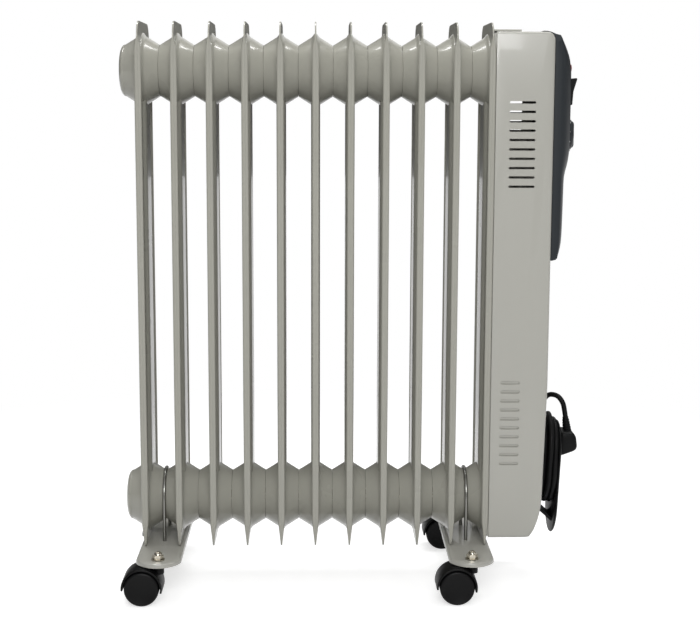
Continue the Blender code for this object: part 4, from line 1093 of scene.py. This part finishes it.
# ---- casters ----
# Four twin-wheel casters of black nylon. The hood is one moulding: a half round cover, the web between
# the wheels and the boss that holds the plated stem, whose dome nut and washer sit on the foot plate.
WHEEL_R = 0.019
TRAIL = 0.017
HOOD_R = 0.0223
HOOD_WALL = 0.0020
HOOD_HALF = 0.017
HOOD_FROM = -12               # degrees round the axle, from behind the stem to the open end
HOOD_TO = 184
HOOD_STEPS = 40
WEB_HALF = 0.003
WEB_NOSE_R = 0.0065
HUB_OFF = 0.0035
NYLON = coated("black_nylon", (0.0040, 0.0040, 0.0042), (0.0032, 0.0032, 0.0034), 26, 1700, 0.46, 0.10,
               0.00003, 0.25, mirror=0.15)

hood_section = [(HOOD_R - HOOD_WALL, -HOOD_HALF), (HOOD_R - 0.0011, -HOOD_HALF),
                (HOOD_R - 0.0003, -HOOD_HALF + 0.0004), (HOOD_R, -HOOD_HALF + 0.0013),
                (HOOD_R, HOOD_HALF - 0.0013), (HOOD_R - 0.0003, HOOD_HALF - 0.0004),
                (HOOD_R - 0.0011, HOOD_HALF), (HOOD_R - HOOD_WALL, HOOD_HALF)]
rings = []
for step in range(HOOD_STEPS + 1):
    angle = math.radians(HOOD_FROM + (HOOD_TO - HOOD_FROM) * step / HOOD_STEPS)
    rings.append([(radius * math.cos(angle), y, radius * math.sin(angle)) for radius, y in hood_section])
cover = lofted("cover", rings)
web = prism(arc_points((0, 0), HOOD_R - HOOD_WALL / 2, HOOD_FROM, HOOD_TO, HOOD_STEPS)
            + arc_points((0, 0), WEB_NOSE_R, 196, 336, 8), -WEB_HALF, WEB_HALF, "web")
boss = turned("boss", [(0.0135, 0.0), (0.0135, 0.0065), (0.0250, 0.0065), (0.0257, 0.0060), (0.0259, 0.0052),
                       (0.0259, 0.0)], 32, Matrix.Translation((TRAIL, 0, 0)) @ UPRIGHT)
hood = together([cover, web, boss], "hood")

WHEEL_LINE = [(HUB_OFF, 0.0), (HUB_OFF, 0.0165), (HUB_OFF + 0.0008, 0.0182), (HUB_OFF + 0.0020, 0.0189),
              (HUB_OFF + 0.0036, WHEEL_R), (HUB_OFF + 0.0109, WHEEL_R), (HUB_OFF + 0.0127, 0.0188),
              (HUB_OFF + 0.0139, 0.0181), (HUB_OFF + 0.0145, 0.0169), (HUB_OFF + 0.0144, 0.0160),
              (HUB_OFF + 0.0141, 0.0155), (HUB_OFF + 0.0140, 0.0)]
wheel = turned("wheel", WHEEL_LINE, 64, Matrix.Rotation(math.pi / 2, 4, "Z"))

# The stem with its washer and its dome nut, a hexagon under a dome, seated on the foot plate.
base = FOOT_TOP + 0.0003
washer = turned("washer", [(base, 0.0), (base, 0.0070), (base + 0.0002, 0.0072), (base + 0.0010, 0.0072),
                           (base + 0.0012, 0.0070), (base + 0.0012, 0.0)], 40, UPRIGHT)
corners = [(math.cos(math.radians(60 * k)), math.sin(math.radians(60 * k))) for k in range(6)]
hexagon = lofted("hexagon", [[(radius * x, radius * y, base + z) for x, y in corners]
                             for z, radius in ((0.0012, 0.0058), (0.0016, 0.0062), (0.0050, 0.0062),
                                               (0.0054, 0.0058))])
dome = turned("dome", [(base + 0.0050, 0.0), (base + 0.0050, 0.0049), (base + 0.0060, 0.0048),
                       (base + 0.0072, 0.0043), (base + 0.0082, 0.0033), (base + 0.0089, 0.0019),
                       (base + 0.0091, 0.0)], 32, UPRIGHT)
shaft = round_bar(0.0040, 0.0340, base + 0.003, UPRIGHT)
stem = together([washer, hexagon, dome, shaft], "stem")

for side, foot_x in feet.items():
    for end, front in (("front", -1), ("rear", 1)):
        place = Matrix.Translation((foot_x - TRAIL, front * STEM_OFF, WHEEL_R))
        mesh = hood.copy()
        mesh.transform(place)
        finished(f"hood_{side}_{end}", mesh, NYLON, f"caster_{side}_{end}",
                 [f"caster_hood_{side}_{end}"])
        mesh = stem.copy()
        mesh.transform(Matrix.Translation((foot_x, front * STEM_OFF, 0)))
        finished(f"stem_{side}_{end}", mesh, ZINC, f"caster_{side}_{end}",
                 [f"caster_stem_{side}_{end}"], 28)
        for position, hand in (("outer", 1), ("inner", -1)):
            mesh = wheel.copy()
            if hand * front < 0:
                mesh.transform(Matrix.Rotation(math.pi, 4, "Z"))
            mesh.transform(place)
            finished(f"wheel_{side}_{end}_{position}_turned", mesh, NYLON, f"wheel_{side}_{end}_{position}",
                     [f"wheel_{side}_{end}_{position}"])


# ---- pieces inside the casing ----
# The element with its brass plug, the thermostat, the thermal cutout and the terminal block: plated,
# moulded and pressed parts that show only through the slots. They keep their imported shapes.
BRASS = coated("plated_brass", (0.66, 0.60, 0.47), (0.58, 0.52, 0.40), 50, 900, 0.28, 0.08, 0.00003, 0.15,
               metallic=1.0)
CERAMIC = coated("white_moulding", (0.68, 0.66, 0.62), (0.60, 0.58, 0.54), 40, 900, 0.5, 0.1, 0.00003, 0.1)
repaint(BRASS, "element_plug", "thermal_cutout")
repaint(ZINC, "heating_element")
repaint(CERAMIC, "thermostat", "terminal_block")
size = {"cad": cad_box, "visual": [list(corner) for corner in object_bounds()]}
